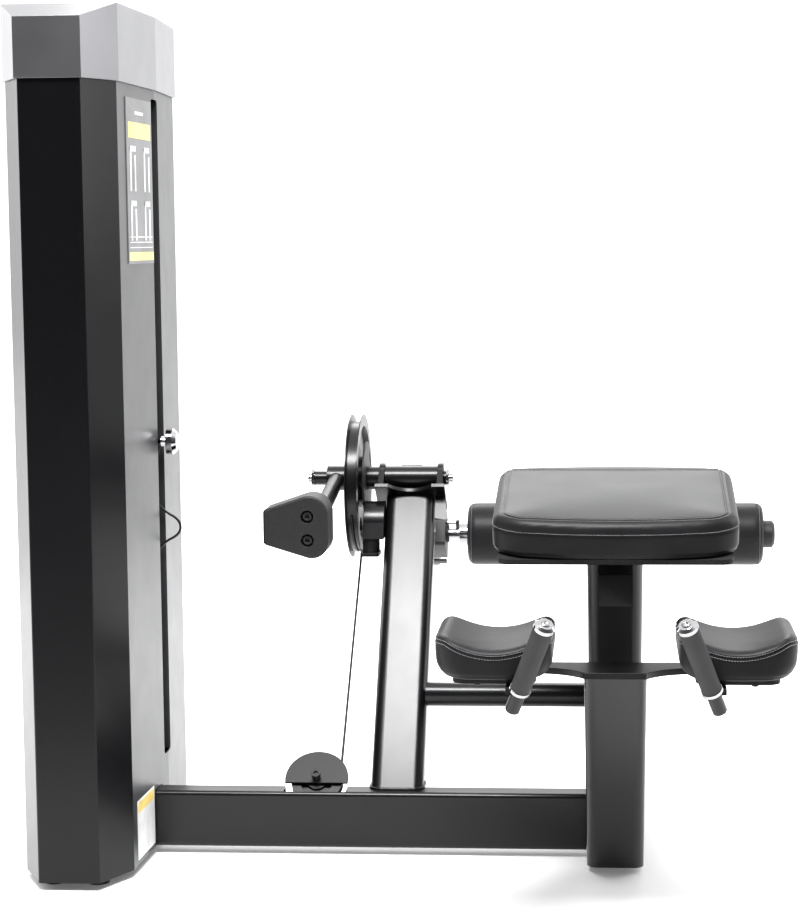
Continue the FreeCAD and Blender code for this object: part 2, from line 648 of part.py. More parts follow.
def pads():
    """Chest and hip cushions meet at the crest; each stands on a board, as do the elbow pads."""
    slope = math.radians(num("chest_slope"))
    length = num("chest_pad_length")
    chest_front = num("crest_y") - length * math.cos(slope)
    chest_z = num("crest_z") - length * math.sin(slope)
    bench_pad("chest_pad_form", "chest_pad_length", "chest_slope", chest_front, chest_z, "chest_pad")
    bench_pad("hip_pad_form", "hip_pad_length", "hip_slope", "crest_y + 12", "crest_z + 1", "hip_pad")
    drop = num("board_thick") + num("gap")
    inset = num("board_inset")
    chest_board = board("chest_board", "pad_width - 2 * board_inset", "chest_pad_length - 2 * board_inset",
                        ("board_inset - pad_width / 2", chest_front + inset + drop * math.sin(slope),
                         chest_z + inset * math.sin(slope) - drop * math.cos(slope)), "chest_slope")
    hip = math.radians(num("hip_slope"))
    hip_board = board("hip_board", "pad_width - 2 * board_inset", "hip_pad_length - 2 * board_inset",
                      ("board_inset - pad_width / 2", num("crest_y") + 12 + inset + drop * math.sin(hip),
                       num("crest_z") + 1 + inset * math.sin(hip) - drop * math.cos(hip)), "hip_slope")
    boards = [chest_board, hip_board]
    for name, sign in (("left", "0 - "), ("right", "")):
        centre = "%selbow_x" % sign
        foot = "plate_z + arm_plate_thick"
        reach = "elbow_width / 2 - elbow_inset"
        form = block("elbow_board_" + name, ("%s - (%s)" % (centre, reach), "elbow_front + elbow_inset", foot),
                     ("%s + %s" % (centre, reach), "elbow_front + elbow_length - elbow_inset", "elbow_foot - gap"))
        boards.append(rounded(form, "24", along(Z_AXIS)))
        half = "elbow_width / 2"
        swell = "elbow_foot + elbow_swell"
        near = "%s - 0.293 * elbow_inset" % half
        low = "elbow_foot + 0.293 * elbow_swell"
        shoulder = "elbow_horn - elbow_round"
        outline = [("0 - (%s)" % reach, "elbow_foot", "0 - (%s)" % near, low), (reach, "elbow_foot"),
                   (half, swell, near, low), (half, shoulder), ("%s - elbow_round" % half, "elbow_horn"),
                   ("elbow_round - (%s)" % half, "elbow_horn", 0, "elbow_valley"),
                   ("0 - " + half, shoulder), ("0 - " + half, swell)]
        body = prism("elbow_pad_" + name, "XZ_Plane", [outline], "elbow_length")
        place(body, (centre, "elbow_front + elbow_length", 0))
        node(body, "elbow_pad_" + name)
    node(group("pad_boards", boards), "pad_boards")


def grips():
    """Each grip is a tube with a rubber sleeve, a chrome ring below it and a chrome cap above."""
    tubes, sleeves, trims = [], [], []
    for name, sign in (("left", -1), ("right", 1)):
        foot, way, length = grip_line(sign)
        tube = rod("grip_tube_" + name, "grip_tube_radius", length - 4, tuple(foot), way)
        end = cone("grip_end_" + name, "grip_tube_radius", "grip_tube_radius - 4.5", "4", tuple(foot), way * -1)
        tubes.append(fuse("grip_tube_" + name, [tube, end]))
        lower = foot + way * 44
        trims.append(ring("grip_ring_" + name, "grip_radius + 1", "grip_tube_radius + run", "6",
                          tuple(lower), way))
        sleeve_at = lower + way * 6.2
        sleeves.append(ring("grip_sleeve_" + name, "grip_radius", "grip_tube_radius + run", length - 62,
                            tuple(sleeve_at), way))
        cap_at = sleeve_at + way * (length - 61.6)
        cap = rod("grip_cap_base_" + name, "grip_radius + 1", "7", tuple(cap_at), way)
        dome = cone("grip_cap_dome_" + name, "grip_radius + 1", "grip_radius - 4", "4",
                    tuple(cap_at + way * 7), way)
        bore = rod("grip_cap_bore_" + name, "grip_tube_radius + run", "9", tuple(cap_at - way * 1), way)
        trims.append(cut("grip_cap_" + name, fuse("grip_cap_" + name, [cap, dome]), [bore]))
    node(group("grip_tubes", tubes), "grip_tubes")
    node(group("grip_sleeves", sleeves), "grip_sleeves")
    node(group("grip_trims", trims), "grip_trims")


# ---------------------------------------------------------------- upright and its saddle

def upright():
    way = lean_back("upright_lean")
    body = leaning_tube("upright", "upright_width", "upright_depth / cos(upright_lean)", "22", "beam_top",
                        "pivot_z", "upright_front_y", way, "upright_x")
    turn = math.radians(num("upright_lean"))
    drop = num("saddle_drop + saddle_thick")
    middle = V(0, num("pivot_y") - drop * math.sin(turn), num("pivot_z") - drop * math.cos(turn))
    middle = middle - V(0, num("upright_front_y"), num("beam_top"))
    flat = V(0, math.cos(turn), -math.sin(turn)) * 150
    rise = V(0, math.sin(turn), math.cos(turn)) * 150
    corners = [middle - flat, middle + flat, middle + flat + rise, middle - flat + rise]
    pocket(body, "YZ_Plane", [[(corner.y, corner.z) for corner in corners]])
    node(body, "upright")


def saddle_bracket():
    """Plate across the upright's end with two ears that hold the shaft's bearings.

    It is drawn level about the shaft's axis, then leaned back with the upright.
    """
    low = "0 - saddle_drop - saddle_thick"
    plate = prism("saddle_plate", "XY_Plane", [[
        ("0 - saddle_half", "0 - 45"), ("0 - 46", "0 - 45"), ("46", "0 - 45", 0, "0 - 24"),
        ("saddle_half", "0 - 45"), ("saddle_half", 55), ("0 - saddle_half", 55)]], "saddle_thick")
    place(plate, (0, 0, low))
    pieces = [plate]
    for name, x in (("left", "0 - hub_half - gap - ear_thick"), ("right", "hub_half + gap")):
        ear = prism("ear_" + name, "YZ_Plane", [[
            ("0 - 40", "0 - saddle_drop"), (40, "0 - saddle_drop"), (27, 6), ("0 - 27", 6, 0, 33)]],
            "ear_thick", circles=[(0, 0, "bearing_radius")])
        pieces.append(place(ear, (x, 0, 0)))
    beside = "upright_width / 2 + gap"
    pieces.append(prism("side_plate", "XZ_Plane", [[
        (beside, "0 - 100"), ("saddle_half + 4", "0 - 104"), ("saddle_half + 6", "0 - 98"),
        ("saddle_half - 1", "0 - saddle_drop - saddle_thick / 2"), (beside, "0 - saddle_drop - saddle_thick / 2")]],
        "6"))
    whole = fuse("saddle_bracket", pieces)
    place(whole, ("upright_x", "pivot_y", "pivot_z"), X_AXIS, "0 - upright_lean")
    node(whole, "saddle_bracket")
    bearings = [ring("shaft_bearing_" + name, "bearing_radius", "shaft_radius + run", "ear_thick",
                     ("upright_x + " + x, "pivot_y", "pivot_z"), X_AXIS)
                for name, x in (("left", "(0 - hub_half - gap - ear_thick)"), ("right", "hub_half + gap"))]
    node(group("shaft_bearings", bearings), "shaft_bearings")


def rest_stop():
    """A rubber bumper on the cam's side, and the steel lug on the upright that it comes up against."""
    side = "cam_x + cam_half"
    middle = "(%s) + bumper_radius + 3" % side
    low = "bumper_top - bumper_height"
    bracket = block("bumper_bracket_form", (side, "bracket_front", "(%s) - bracket_thick" % low),
                    ("(%s) + bumper_radius" % middle, "bracket_rear", low))
    node(rounded(bracket, "6", post_edge([point(("(%s) + bumper_radius" % middle, y, 0))
                                          for y in ("bracket_front", "bracket_rear")])), "bumper_bracket")
    bumper = rod("stop_bumper_form", "bumper_radius", "bumper_height", (middle, "bumper_y", low))
    top = num("bumper_top")
    node(rounded(bumper, "bumper_round", lambda edge: abs(edge.BoundBox.ZMin - top) < 0.01), "stop_bumper")
    foot = "bumper_top + gap - pivot_z"
    left = "(%s) + 7" % side
    body = prism("stop_lug", "YZ_Plane", [[
        ("0 - 108", foot), ("0 - 64", foot), ("0 - 28", "0 - 74"), ("0 - 46", "0 - 44"),
        ("0 - 96", "0 - 84", "0 - 82", "0 - 58")]], "upright_x - upright_width / 2 - (%s)" % left)
    node(place(body, (left, "pivot_y", "pivot_z")), "stop_lug")


# ---------------------------------------------------------------- cam, counterweight and shaft

def groove_outline(bore, seat, rim, half, web, hub):
    """Half section of a grooved wheel about its axle: x along the axle, y outwards."""
    lip = "2.2"
    floor = "%s - cable_radius - cable_ease" % seat
    return [
        ("0 - %s / 2" % hub, bore), ("%s / 2" % hub, bore), ("%s / 2" % hub, "%s + 14" % bore),
        ("%s / 2" % web, "%s + 16" % bore),
        ("%s / 2" % web, "%s - 14" % seat), (half, "%s - 12" % seat), (half, rim),
        ("%s - %s" % (half, lip), rim), ("%s - %s - 1" % (half, lip), floor),
        ("0 - (%s - %s - 1)" % (half, lip), floor), ("0 - (%s - %s)" % (half, lip), rim),
        ("0 - " + half, rim), ("0 - " + half, "%s - 12" % seat), ("0 - %s / 2" % web, "%s - 14" % seat),
        ("0 - %s / 2" % web, "%s + 16" % bore), ("0 - %s / 2" % hub, "%s + 14" % bore)]


def cam_wheel():
    """Grooved wheel that sits off centre on its hub, with four round windows in the web."""
    outline = groove_outline("30", "cable_seat", "cam_radius", "cam_half", "8", "hub_width")
    wheel = revolve("cam_rim", "XY_Plane", outline, "X_Axis")
    place(wheel, ("cam_x", "pivot_y", "pivot_z - cam_drop"))
    hub = rod("cam_hub", "46", "2 * cam_half", ("cam_x - cam_half", "pivot_y", "pivot_z"), X_AXIS)
    bore = rod("cam_bore", "shaft_radius + run", "80", ("cam_x - 40", "pivot_y", "pivot_z"), X_AXIS)
    windows = []
    for i, turn in enumerate((150, 210, 270, 330)):
        way = math.radians(turn)
        at = ("cam_x - 20", "pivot_y + %.4f" % (92 * math.cos(way)),
              "pivot_z - cam_drop + %.4f" % (92 * math.sin(way)))
        windows.append(rod("cam_window_%d" % i, "24", "40", at, X_AXIS))
    node(cut("cam_wheel", fuse("cam_wheel", [wheel, hub]), windows + [bore]), "cam_wheel")


def start_disc():
    """Disc of start holes, fixed beside the cam; the start pin drops into one of them.

    A narrower slot joins the holes, so that the pin can be slid from one to the next.
    """
    body = prism("start_disc_form", "YZ_Plane", [], "4", circles=[(0, 0, "start_disc_radius"), (0, 0, "47")])
    place(body, ("start_disc_x - 2", "pivot_y", "pivot_z"))
    reach = num("start_hole_reach")
    step = 15
    count = 4
    holes = []
    for i in range(count):
        way = math.radians(step * i)
        at = ("start_disc_x - 10", num("pivot_y") + reach * math.cos(way), num("pivot_z") + reach * math.sin(way))
        holes.append(rod("start_hole_%d" % i, "5", "20", at, X_AXIS))
    last = math.radians(step * (count - 1))
    inner = reach - num("start_slot_half")
    outer = reach + num("start_slot_half")
    slot = prism("start_slot", "YZ_Plane", [[
        (outer, 0),
        (outer * math.cos(last), outer * math.sin(last), outer * math.cos(last / 2), outer * math.sin(last / 2)),
        (inner * math.cos(last), inner * math.sin(last)),
        (inner, 0, inner * math.cos(last / 2), inner * math.sin(last / 2))]], "20")
    place(slot, ("start_disc_x - 10", "pivot_y", "pivot_z"))
    struts = rod("start_disc_hub", "50", "start_disc_x + 2 - cam_x - cam_half",
                 ("cam_x + cam_half", "pivot_y", "pivot_z"), X_AXIS)
    bore = rod("start_disc_bore", "shaft_radius + run", "40", ("start_disc_x - 20", "pivot_y", "pivot_z"), X_AXIS)
    node(cut("start_disc", fuse("start_disc", [body, struts]), holes + [slot, bore]), "start_disc")


def counterweight():
    """Clamp hub on the shaft, a tube sloping forward and down, and a bolted steel block."""
    turn = math.radians(num("counter_slope"))
    way = V(0, -math.cos(turn), -math.sin(turn))
    pivot = point(("counter_x", "pivot_y", "pivot_z"))
    hub = rod("counter_hub", "27", "44", ("counter_x - 20", "pivot_y", "pivot_z"), X_AXIS)
    back = num("counter_front + counter_depth")
    reach = (num("pivot_y") - back) / math.cos(turn)
    tube = rod("counter_tube_form", "counter_tube", reach, tuple(pivot), way)
    bore = rod("counter_bore", "shaft_radius + run", "80", ("counter_x - 40", "pivot_y", "pivot_z"), X_AXIS)
    whole = fuse("counter_arm", [hub, tube])
    flat = block("counter_trim", ("counter_x - 40", back - 40, 500), ("counter_x + 40", back + 0.2, 800))
    node(cut("counter_arm", whole, [bore, flat]), "counter_arm")

    left = "counter_left"
    right = "counter_right"
    corners = ((left, "counter_z - 34", 8), (left, "counter_z + 34", 8), (left + " + 84", "counter_z + 62", 40),
               (right, "counter_z + 62", 38), (right, "counter_z - 62", 33), (left + " + 90", "counter_z - 62", 30))
    body = prism("counterweight_form", "XZ_Plane", [[(x, z) for x, z, radius in corners]], "counter_depth")
    place(body, (0, back, 0))
    form = body
    for x, z, radius in corners:
        spot = V(num(x), 0, num(z))
        form = rounded(form, str(radius), near_edge(spot))
    form = rounded(form, "5", lambda edge: abs(edge.BoundBox.YMax - num("counter_front")) < 0.01)
    heads = []
    seats = []
    for i, z in enumerate(("counter_z + 21", "counter_z - 26")):
        x = "counter_x - 12.5"
        head = rod("counter_bolt_%d" % i, "9", "10", (x, "counter_front + 4", z), Y_AXIS)
        socket = rod("counter_socket_%d" % i, "4.5", "6", (x, "counter_front + 3", z), Y_AXIS)
        heads.append(cut("counter_bolt_%d" % i, head, [socket]))
        seats.append(rod("counter_seat_%d" % i, "12.5", "16", (x, "counter_front - 2", z), Y_AXIS))
    node(cut("counterweight", form, seats), "counterweight")
    node(group("counterweight_bolts", heads), "counterweight_bolts")


def pivot_shaft():
    """The shaft through the saddle's bearings, with a shoulder between the cam and the near bearing."""
    left = "counter_x - 48"
    right = "upright_x + hub_half + gap + ear_thick + 6"
    shaft = rod("shaft_form", "shaft_radius", "(%s) - (%s)" % (right, left),
                (left, "pivot_y", "pivot_z"), X_AXIS)
    shoulder_left = "start_disc_x + 2 + gap"
    shoulder_right = "upright_x - hub_half - gap - ear_thick - gap"
    shoulder = rod("shaft_shoulder", "25", "(%s) - (%s)" % (shoulder_right, shoulder_left),
                   (shoulder_left, "pivot_y", "pivot_z"), X_AXIS)
    arm = block("start_arm", ("(%s) + 6" % shoulder_left, "pivot_y", "pivot_z - 12"),
                ("(%s) + 18" % shoulder_left, "pivot_y + 84", "pivot_z + 12"))
    hole = rod("start_arm_hole", "8 + run", "40",
               ("(%s) - 10" % shoulder_left, "pivot_y + start_hole_reach", "pivot_z"), X_AXIS)
    node(cut("pivot_shaft", fuse("pivot_shaft", [shaft, shoulder, arm]), [hole]), "pivot_shaft")
    caps = []
    for name, x, way in (("left", left, V(-1, 0, 0)), ("right", right, X_AXIS)):
        disc = cone("shaft_cap_" + name, "21", "19", "6", (x, "pivot_y", "pivot_z"), way)
        start = point((x, "pivot_y", "pivot_z")) + way * 6
        head = rod("shaft_bolt_" + name, "10", "8", tuple(start), way)
        socket = rod("shaft_socket_" + name, "5", "6", tuple(start + way * 3), way)
        caps.append(cut("shaft_cap_" + name, fuse("shaft_cap_" + name, [disc, head]), [socket]))
    node(group("shaft_caps", caps), "shaft_caps")


def start_pin():
    """Spring plunger that locks the movement arm to one hole of the start disc."""
    y = "pivot_y + start_hole_reach"
    tip = rod("start_pin_tip", "start_slot_half - 0.1", "10", ("start_disc_x - 1", y, "pivot_z"), X_AXIS)
    barrel = rod("start_pin_barrel", "8", "20", ("start_disc_x + 5", y, "pivot_z"), X_AXIS)
    grip = rod("start_pin_grip", "12", "12", ("start_disc_x + 24", y, "pivot_z"), X_AXIS)
    node(fuse("start_pin", [tip, barrel, grip]), "start_pin")


def arm_way():
    turn = math.radians(num("arm_angle"))
    return V(0, math.cos(turn), math.sin(turn))


def movement_arm():
    """Hub tube between the ears with the roller arm welded to it, sloping down behind the upright.

    Notches for the carriage's plunger are joined by a shallower groove that it slides along.

    Drawn level along +Y from the shaft's axis, then turned to the arm's angle.
    """
    hub = rod("arm_hub", "hub_radius", "2 * hub_half", ("0 - hub_half", 0, 0), X_AXIS)
    bar = block("arm_bar_form", ("0 - arm_wide / 2", 0, "0 - arm_deep / 2"),
                ("arm_wide / 2", "arm_reach", "arm_deep / 2"))
    bar = rounded(bar, "8", along(Y_AXIS))
    bore = rod("arm_bore", "shaft_radius + run", "2 * hub_half + 20", ("0 - hub_half - 10", 0, 0), X_AXIS)
    notches = [rod("arm_notch_%d" % i, "6", "16", (0, "arm_length + %d" % y, "0 - arm_deep / 2 - 1"), Z_AXIS)
               for i, y in enumerate((-60, -30, 0, 30, 60))]
    groove = block("arm_groove", ("0 - plunger_radius - run", "arm_length - adjust_travel", "0 - arm_deep / 2 - 1"),
                   ("plunger_radius + run", "arm_length + adjust_travel", "plunger_grip + 1 - arm_deep / 2"))
    whole = cut("movement_arm", fuse("movement_arm", [hub, bar]), [bore, groove] + notches)
    node(place(whole, ("upright_x", "pivot_y", "pivot_z"), X_AXIS, "arm_angle"), "movement_arm")


def roller_carriage():
    """A sleeve that slides on the arm and holds the roller's shaft crosswise."""
    left = "upright_x - arm_wide / 2 - carriage_wall"
    half = "(arm_deep / 2 + carriage_wall)"
    sleeve = block("carriage_form", (left, "arm_length - 52", "0 - " + half),
                   ("carriage_right", "arm_length + 52", half))
    sleeve = rounded(sleeve, "7", along(X_AXIS))
    bore = block("carriage_bore", ("upright_x - arm_wide / 2 - 0.3", "arm_length - 80", "0 - arm_deep / 2 - 0.3"),
                 ("upright_x + arm_wide / 2 + 0.3", "arm_length + 80", "arm_deep / 2 + 0.3"))
    socket = rod("carriage_boss", "20", "7", ("carriage_right - 1", "arm_length", 0), X_AXIS)
    plunger_hole = rod("carriage_hole", "7 + run", "60",
                       ("upright_x", "arm_length", "0 - arm_deep / 2 - 50"), Z_AXIS)
    shaft_seat = rod("carriage_seat", "roller_shaft_radius", "40",
                     ("upright_x + arm_wide / 2 + 5", "arm_length", 0), X_AXIS)
    whole = cut("roller_carriage", fuse("roller_carriage", [sleeve, socket]), [bore, plunger_hole, shaft_seat])
    node(place(whole, (0, "pivot_y", "pivot_z"), X_AXIS, "arm_angle"), "roller_carriage")
    knob = [rod("plunger_tip", "plunger_radius", "20 + plunger_grip",
                ("upright_x", "arm_length", "0 - arm_deep / 2 - 20"), Z_AXIS),
            rod("plunger_barrel", "7", "22",
                ("upright_x", "arm_length", "0 - arm_deep / 2 - carriage_wall - 21"), Z_AXIS),
            block("plunger_lever", ("upright_x - 14", "arm_length - 9", "0 - arm_deep / 2 - carriage_wall - 26"),
                  ("carriage_right + 2", "arm_length + 9", "0 - arm_deep / 2 - carriage_wall - 20"))]
    pin = fuse("carriage_pin", knob)
    node(place(pin, (0, "pivot_y", "pivot_z"), X_AXIS, "arm_angle"), "carriage_pin")


def roller():
    """Chrome shaft, thrust collar, foam roller and end cap, all about the roller's own axis."""
    centre = point((0, "pivot_y", "pivot_z")) + arm_way() * num("arm_length")
    y, z = centre.y, centre.z
    start = "upright_x + arm_wide / 2 + 5"
    shaft = rod("roller_shaft_form", "roller_shaft_radius", "roller_right + 8 - (%s)" % start,
                (start, y, z), X_AXIS)
    rail = rod("adjust_rail", "4.5", "roller_left - 26 - carriage_right",
               ("carriage_right", y - 4, z + 26), X_AXIS)
    strap = block("rail_strap", ("roller_left - 28", y - 10, z + 4), ("roller_left - 20", y + 4, z + 33))
    node(fuse("roller_shaft", [shaft, rail, strap]), "roller_shaft")
    node(ring("shaft_collar", "26", "roller_shaft_radius + run", "18", ("roller_left - 19", y, z), X_AXIS),
         "shaft_collar")
    form = ring("roller_form", "roller_radius", "roller_shaft_radius + run", "roller_right - roller_left",
                ("roller_left", y, z), X_AXIS)
    edge_size = num("roller_radius") - 1
    node(rounded(form, "13", lambda edge: edge.BoundBox.YLength > edge_size * 2), "roller_pad")
    disc = rod("end_disc", "end_cap_radius", "20", ("roller_right + 0.5", y, z), X_AXIS)
    dome = cone("end_dome", "end_cap_radius", "end_cap_radius - 8", "6", ("roller_right + 20.5", y, z), X_AXIS)
    bore = rod("end_bore", "roller_shaft_radius", "9", ("roller_right - 1", y, z), X_AXIS)
    node(cut("roller_end_cap", fuse("roller_end_cap", [disc, dome]), [bore]), "roller_end_cap")


# ---------------------------------------------------------------- cable route

def cable_frame():
    """Where the cable leaves the cam, and how far its run to the beam pulley leans back."""
    cam = V(0, num("pivot_y"), num("pivot_z - cam_drop"))
    pulley = V(0, num("beam_pulley_y"), num("beam_pulley_z"))
    span = cam - pulley
    seat = num("cable_seat")
    lean = math.atan2(span.y, span.z) + math.asin(seat / span.Length)
    way = V(0, math.sin(lean), math.cos(lean))
    off = V(0, math.cos(lean), -math.sin(lean)) * seat
    return cam, cam + off, way, lean


def wheel(label, at, turn_axis, turn, seat):
    """A grooved pulley with its axle along X before it is turned."""
    rim = "%s + pulley_flange" % seat
    outline = groove_outline("axle_radius + run", seat, rim, "pulley_half", "6", "2 * pulley_half")
    body = revolve(label, "XY_Plane", outline, "X_Axis")
    body.Placement = FreeCAD.Placement(point(at), FreeCAD.Rotation(turn_axis, turn))
    node(body, label)


def pulley_places():
    """Centre and axle direction of the beam, base and top pulleys."""
    cam, tangent, way, lean = cable_frame()
    seat = num("pulley_seat")
    beam = V(num("cam_x") - seat, num("beam_pulley_y"), num("beam_pulley_z"))
    exit_point = beam - way * seat
    base = V(num("base_pulley_x"), exit_point.y, exit_point.z + seat)
    rise = V(base.x - seat, base.y, 0)
    stem = V(num("tower_x"), num("stem_y"), 0)
    across = stem - rise
    top = (rise + stem) * 0.5 + V(0, 0, num("top_pulley_z"))
    return {
        "beam": (beam, V(0, math.cos(lean), -math.sin(lean)), seat),
        "base": (base, Y_AXIS, seat),
        "top": (top, V(across.y, -across.x, 0).normalize(), across.Length / 2),
    }


def pulleys_and_brackets():
    spots = pulley_places()
    for name, (centre, axle, seat) in spots.items():
        turn = FreeCAD.Rotation(X_AXIS, axle)
        wheel(name + "_pulley", tuple(centre), turn.Axis, math.degrees(turn.Angle), str(seat))
    brackets = []
    for name in ("base", "top"):
        centre, axle, seat = spots[name]
        pin = rod(name + "_axle", "axle_radius", "44", tuple(centre - axle * 22), axle)
        pieces = [pin]
        for side in (-1, 1):
            cheek = fresh("Part::Box", "%s_cheek_%d" % (name, side + 1))
            if name == "top":
                low, high = centre.z - 14, num("crosshead")
            else:
                low, high = num("shroud_foot + base_plate"), centre.z + 14
            bind(cheek, Length="36", Width="4", Height=high - low)
            turned = FreeCAD.Rotation(Y_AXIS, axle)
            corner = centre + axle * (side * 16 - 2) - turned.multVec(X_AXIS) * 18
            cheek.Placement = FreeCAD.Placement(V(corner.x, corner.y, low), turned)
            pieces.append(cheek)
        brackets.append(fuse(name + "_bracket", pieces))
    node(group("pulley_brackets", brackets), "pulley_brackets")

    centre, axle, seat = spots["beam"]
    forward = axle * -1
    turned = FreeCAD.Rotation(Y_AXIS, axle)
    disc = rod("guard_disc", "guard_radius", "4", tuple(centre + forward * 12), forward)
    trim = fresh("Part::Box", "guard_trim")
    bind(trim, Length="2 * guard_radius + 20", Width="20", Height="guard_radius + 20")
    low = turned.multVec(V(-num("guard_radius") - 10, -10, -num("guard_radius") - 30))
    trim.Placement = FreeCAD.Placement(centre + forward * 12 + low, turned)
    guard = cut("guard_form", disc, [trim])
    pin = rod("guard_axle", "axle_radius", "28", tuple(centre - forward * 12), forward)
    spacer = rod("guard_spacer", "8", "12", tuple(centre + forward * 16), forward)
    head = rod("guard_bolt", "9", "8", tuple(centre + forward * 28), forward)
    socket = rod("guard_socket", "4.5", "5", tuple(centre + forward * 32), forward)
    node(cut("pulley_guard", fuse("pulley_guard", [guard, pin, spacer, head]), [socket]), "pulley_guard")


def sweep(label, edges, radius):
    """A round cable along joined edges; its volume is tested against section times length."""
    path = Part.Wire(edges)
    start = edges[0].Vertexes[0].Point
    tangent = edges[0].tangentAt(edges[0].FirstParameter)
    section = Part.Wire(Part.Circle(start, tangent, radius).toShape())
    thing = fresh("Part::Feature", label + "_form")
    thing.Shape = path.makePipeShell([section], True, False)
    ideal = math.pi * radius ** 2 * path.Length
    assert abs(thing.Shape.Volume / ideal - 1) < 0.02, (label, thing.Shape.Volume, ideal)
    return node(thing, label)


def arc_about(centre, start, end, outward):
    """A round edge about a centre that passes on the outward side."""
    middle = centre + outward.normalize() * (start - centre).Length
    return Part.Arc(start, middle, end).toShape()


def line(start, end):
    return Part.LineSegment(start, end).toShape()


def cables():
    cam, tangent, way, lean = cable_frame()
    spots = pulley_places()
    groove_x = V(num("cam_x"), 0, 0)
    radius = num("cable_radius")
    leave = tangent + groove_x - way * num("cable_start")
    beam, axle, seat = spots["beam"]
    base = spots["base"][0]
    top, top_axle, top_seat = spots["top"]
    beam_in = beam + X_AXIS * seat
    beam_out = beam - way * seat
    base_in = base - Z_AXIS * seat
    base_out = base - X_AXIS * seat
    top_in = V(base_out.x, base_out.y, top.z)
    top_out = V(num("tower_x"), num("stem_y"), top.z)
    sweep("main_cable", [
        line(leave, beam_in),
        arc_about(beam, beam_in, beam_out, X_AXIS - way),
        line(beam_out, base_in),
        arc_about(base, base_in, base_out, V(-1, 0, -1)),
        line(base_out, top_in),
        arc_about(top, top_in, top_out, V(0, 0, 1)),
    ], radius)
    head_top = "stack_foot + (rest_plates + lift_plates) * plate_pitch + head_thick + 42"
    low = V(top_out.x, top_out.y, num(head_top))
    sweep("drop_cable", [line(top_out - Z_AXIS * 0.01, low)], radius)

    def rim(degrees):
        turn = -lean + math.radians(degrees)
        return cam + groove_x + V(0, math.cos(turn), math.sin(turn)) * num("cable_seat")
    sweep("cam_cable", [Part.Arc(rim(-112), rim(-45), rim(24)).toShape()], radius)


def pin_lanyard():
    """Short cord from the selector pin's neck, down inside the tower and out in one loop."""
    pin_z = num("stack_foot + (rest_plates + 0.5) * plate_pitch - 0.75")
    y = num("stem_y") + 14
    x = num("knob_x")
    points = [V(x - 30, y, pin_z - 12), V(x - 44, y, pin_z - 60), V(x - 46, y, pin_z - 110), V(x - 26, y, pin_z - 140),
              V(x + 10, y, pin_z - 160), V(x + 10, y, pin_z - 188), V(x - 26, y, pin_z - 206),
              V(x - 46, y, pin_z - 236), V(x - 50, y, pin_z - 262)]
    edges = []
    start = points[0]
    for before, corner, after in zip(points, points[1:], points[2:]):
        one = corner - before
        two = after - corner
        turn = one.getAngle(two)
        reach = 0.45 * min(one.Length, two.Length)
        enter = corner - V(one).normalize() * reach
        leave = corner + V(two).normalize() * reach
        inside = (V(two).normalize() - V(one).normalize()).normalize()
        radius = reach / math.tan(turn / 2)
        middle = corner + inside * (radius / math.cos(turn / 2) - radius)
        edges.append(line(start, enter))
        edges.append(Part.Arc(enter, middle, leave).toShape())
        start = leave
    edges.append(line(start, points[-1]))
    sweep("pin_lanyard", edges, 2.5)


# ---------------------------------------------------------------- build and write

def build():
    tower_base()
    tower_feet()
    tower_frame()
    guide_rods()
    stack_cushions()
    weight_stack()
    selector_pin()
    shroud_front()
    shroud_side("shroud_left", -1)
    shroud_side("shroud_right", 1)
    shroud_rear()
    tower_cap()
    base_beam()
    floor_members()
    front_post()
    chest_post()
    bench_rail()
    cross_tube()
    elbow_plate()
    pads()
    grips()
    upright()
    saddle_bracket()
    rest_stop()
    cam_wheel()
    start_disc()
    counterweight()
    pivot_shaft()
    start_pin()
    movement_arm()
    roller_carriage()
    roller()
    pulleys_and_brackets()
    cables()
    pin_lanyard()


def write():
    DOC.recompute()
    for thing in DOC.Objects:
        assert not {"Invalid", "Error"} & set(thing.State), (thing.Name, thing.State)
    os.makedirs("parts", exist_ok=True)
    for thing in NODES:
        shape = thing.Shape
        assert not shape.isNull() and shape.isValid(), thing.Label
        shape.exportStep("parts/%s.step" % thing.Label)
    print("%d nodes written" % len(NODES))


build()
write()
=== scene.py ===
"""Looks of the prone leg curl machine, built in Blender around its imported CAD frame. Metres."""
import json
import math

import bmesh
import bpy
import numpy as np
from mathutils import Matrix, Vector
from mathutils.bvhtree import BVHTree


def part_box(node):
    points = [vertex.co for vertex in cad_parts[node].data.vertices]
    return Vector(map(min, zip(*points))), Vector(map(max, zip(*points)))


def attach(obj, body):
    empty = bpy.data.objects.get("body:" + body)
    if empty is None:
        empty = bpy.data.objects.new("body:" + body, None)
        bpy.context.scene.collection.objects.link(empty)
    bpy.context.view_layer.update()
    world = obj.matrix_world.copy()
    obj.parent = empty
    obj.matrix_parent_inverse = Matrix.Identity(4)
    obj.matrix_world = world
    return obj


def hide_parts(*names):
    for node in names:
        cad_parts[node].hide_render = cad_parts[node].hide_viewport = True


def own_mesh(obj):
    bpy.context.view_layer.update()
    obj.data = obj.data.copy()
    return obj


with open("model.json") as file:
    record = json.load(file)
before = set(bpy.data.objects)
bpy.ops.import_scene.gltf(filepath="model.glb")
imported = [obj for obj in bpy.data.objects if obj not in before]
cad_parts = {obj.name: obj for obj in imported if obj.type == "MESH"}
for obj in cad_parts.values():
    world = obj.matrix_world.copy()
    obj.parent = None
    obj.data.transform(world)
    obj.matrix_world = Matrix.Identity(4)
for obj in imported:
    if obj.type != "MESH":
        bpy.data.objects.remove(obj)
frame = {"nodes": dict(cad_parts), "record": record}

SCENE = bpy.context.scene
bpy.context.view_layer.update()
X_AXIS = Vector((1, 0, 0))
Y_AXIS = Vector((0, 1, 0))
Z_AXIS = Vector((0, 0, 1))


# ---------------------------------------------------------------- camera, floor and light

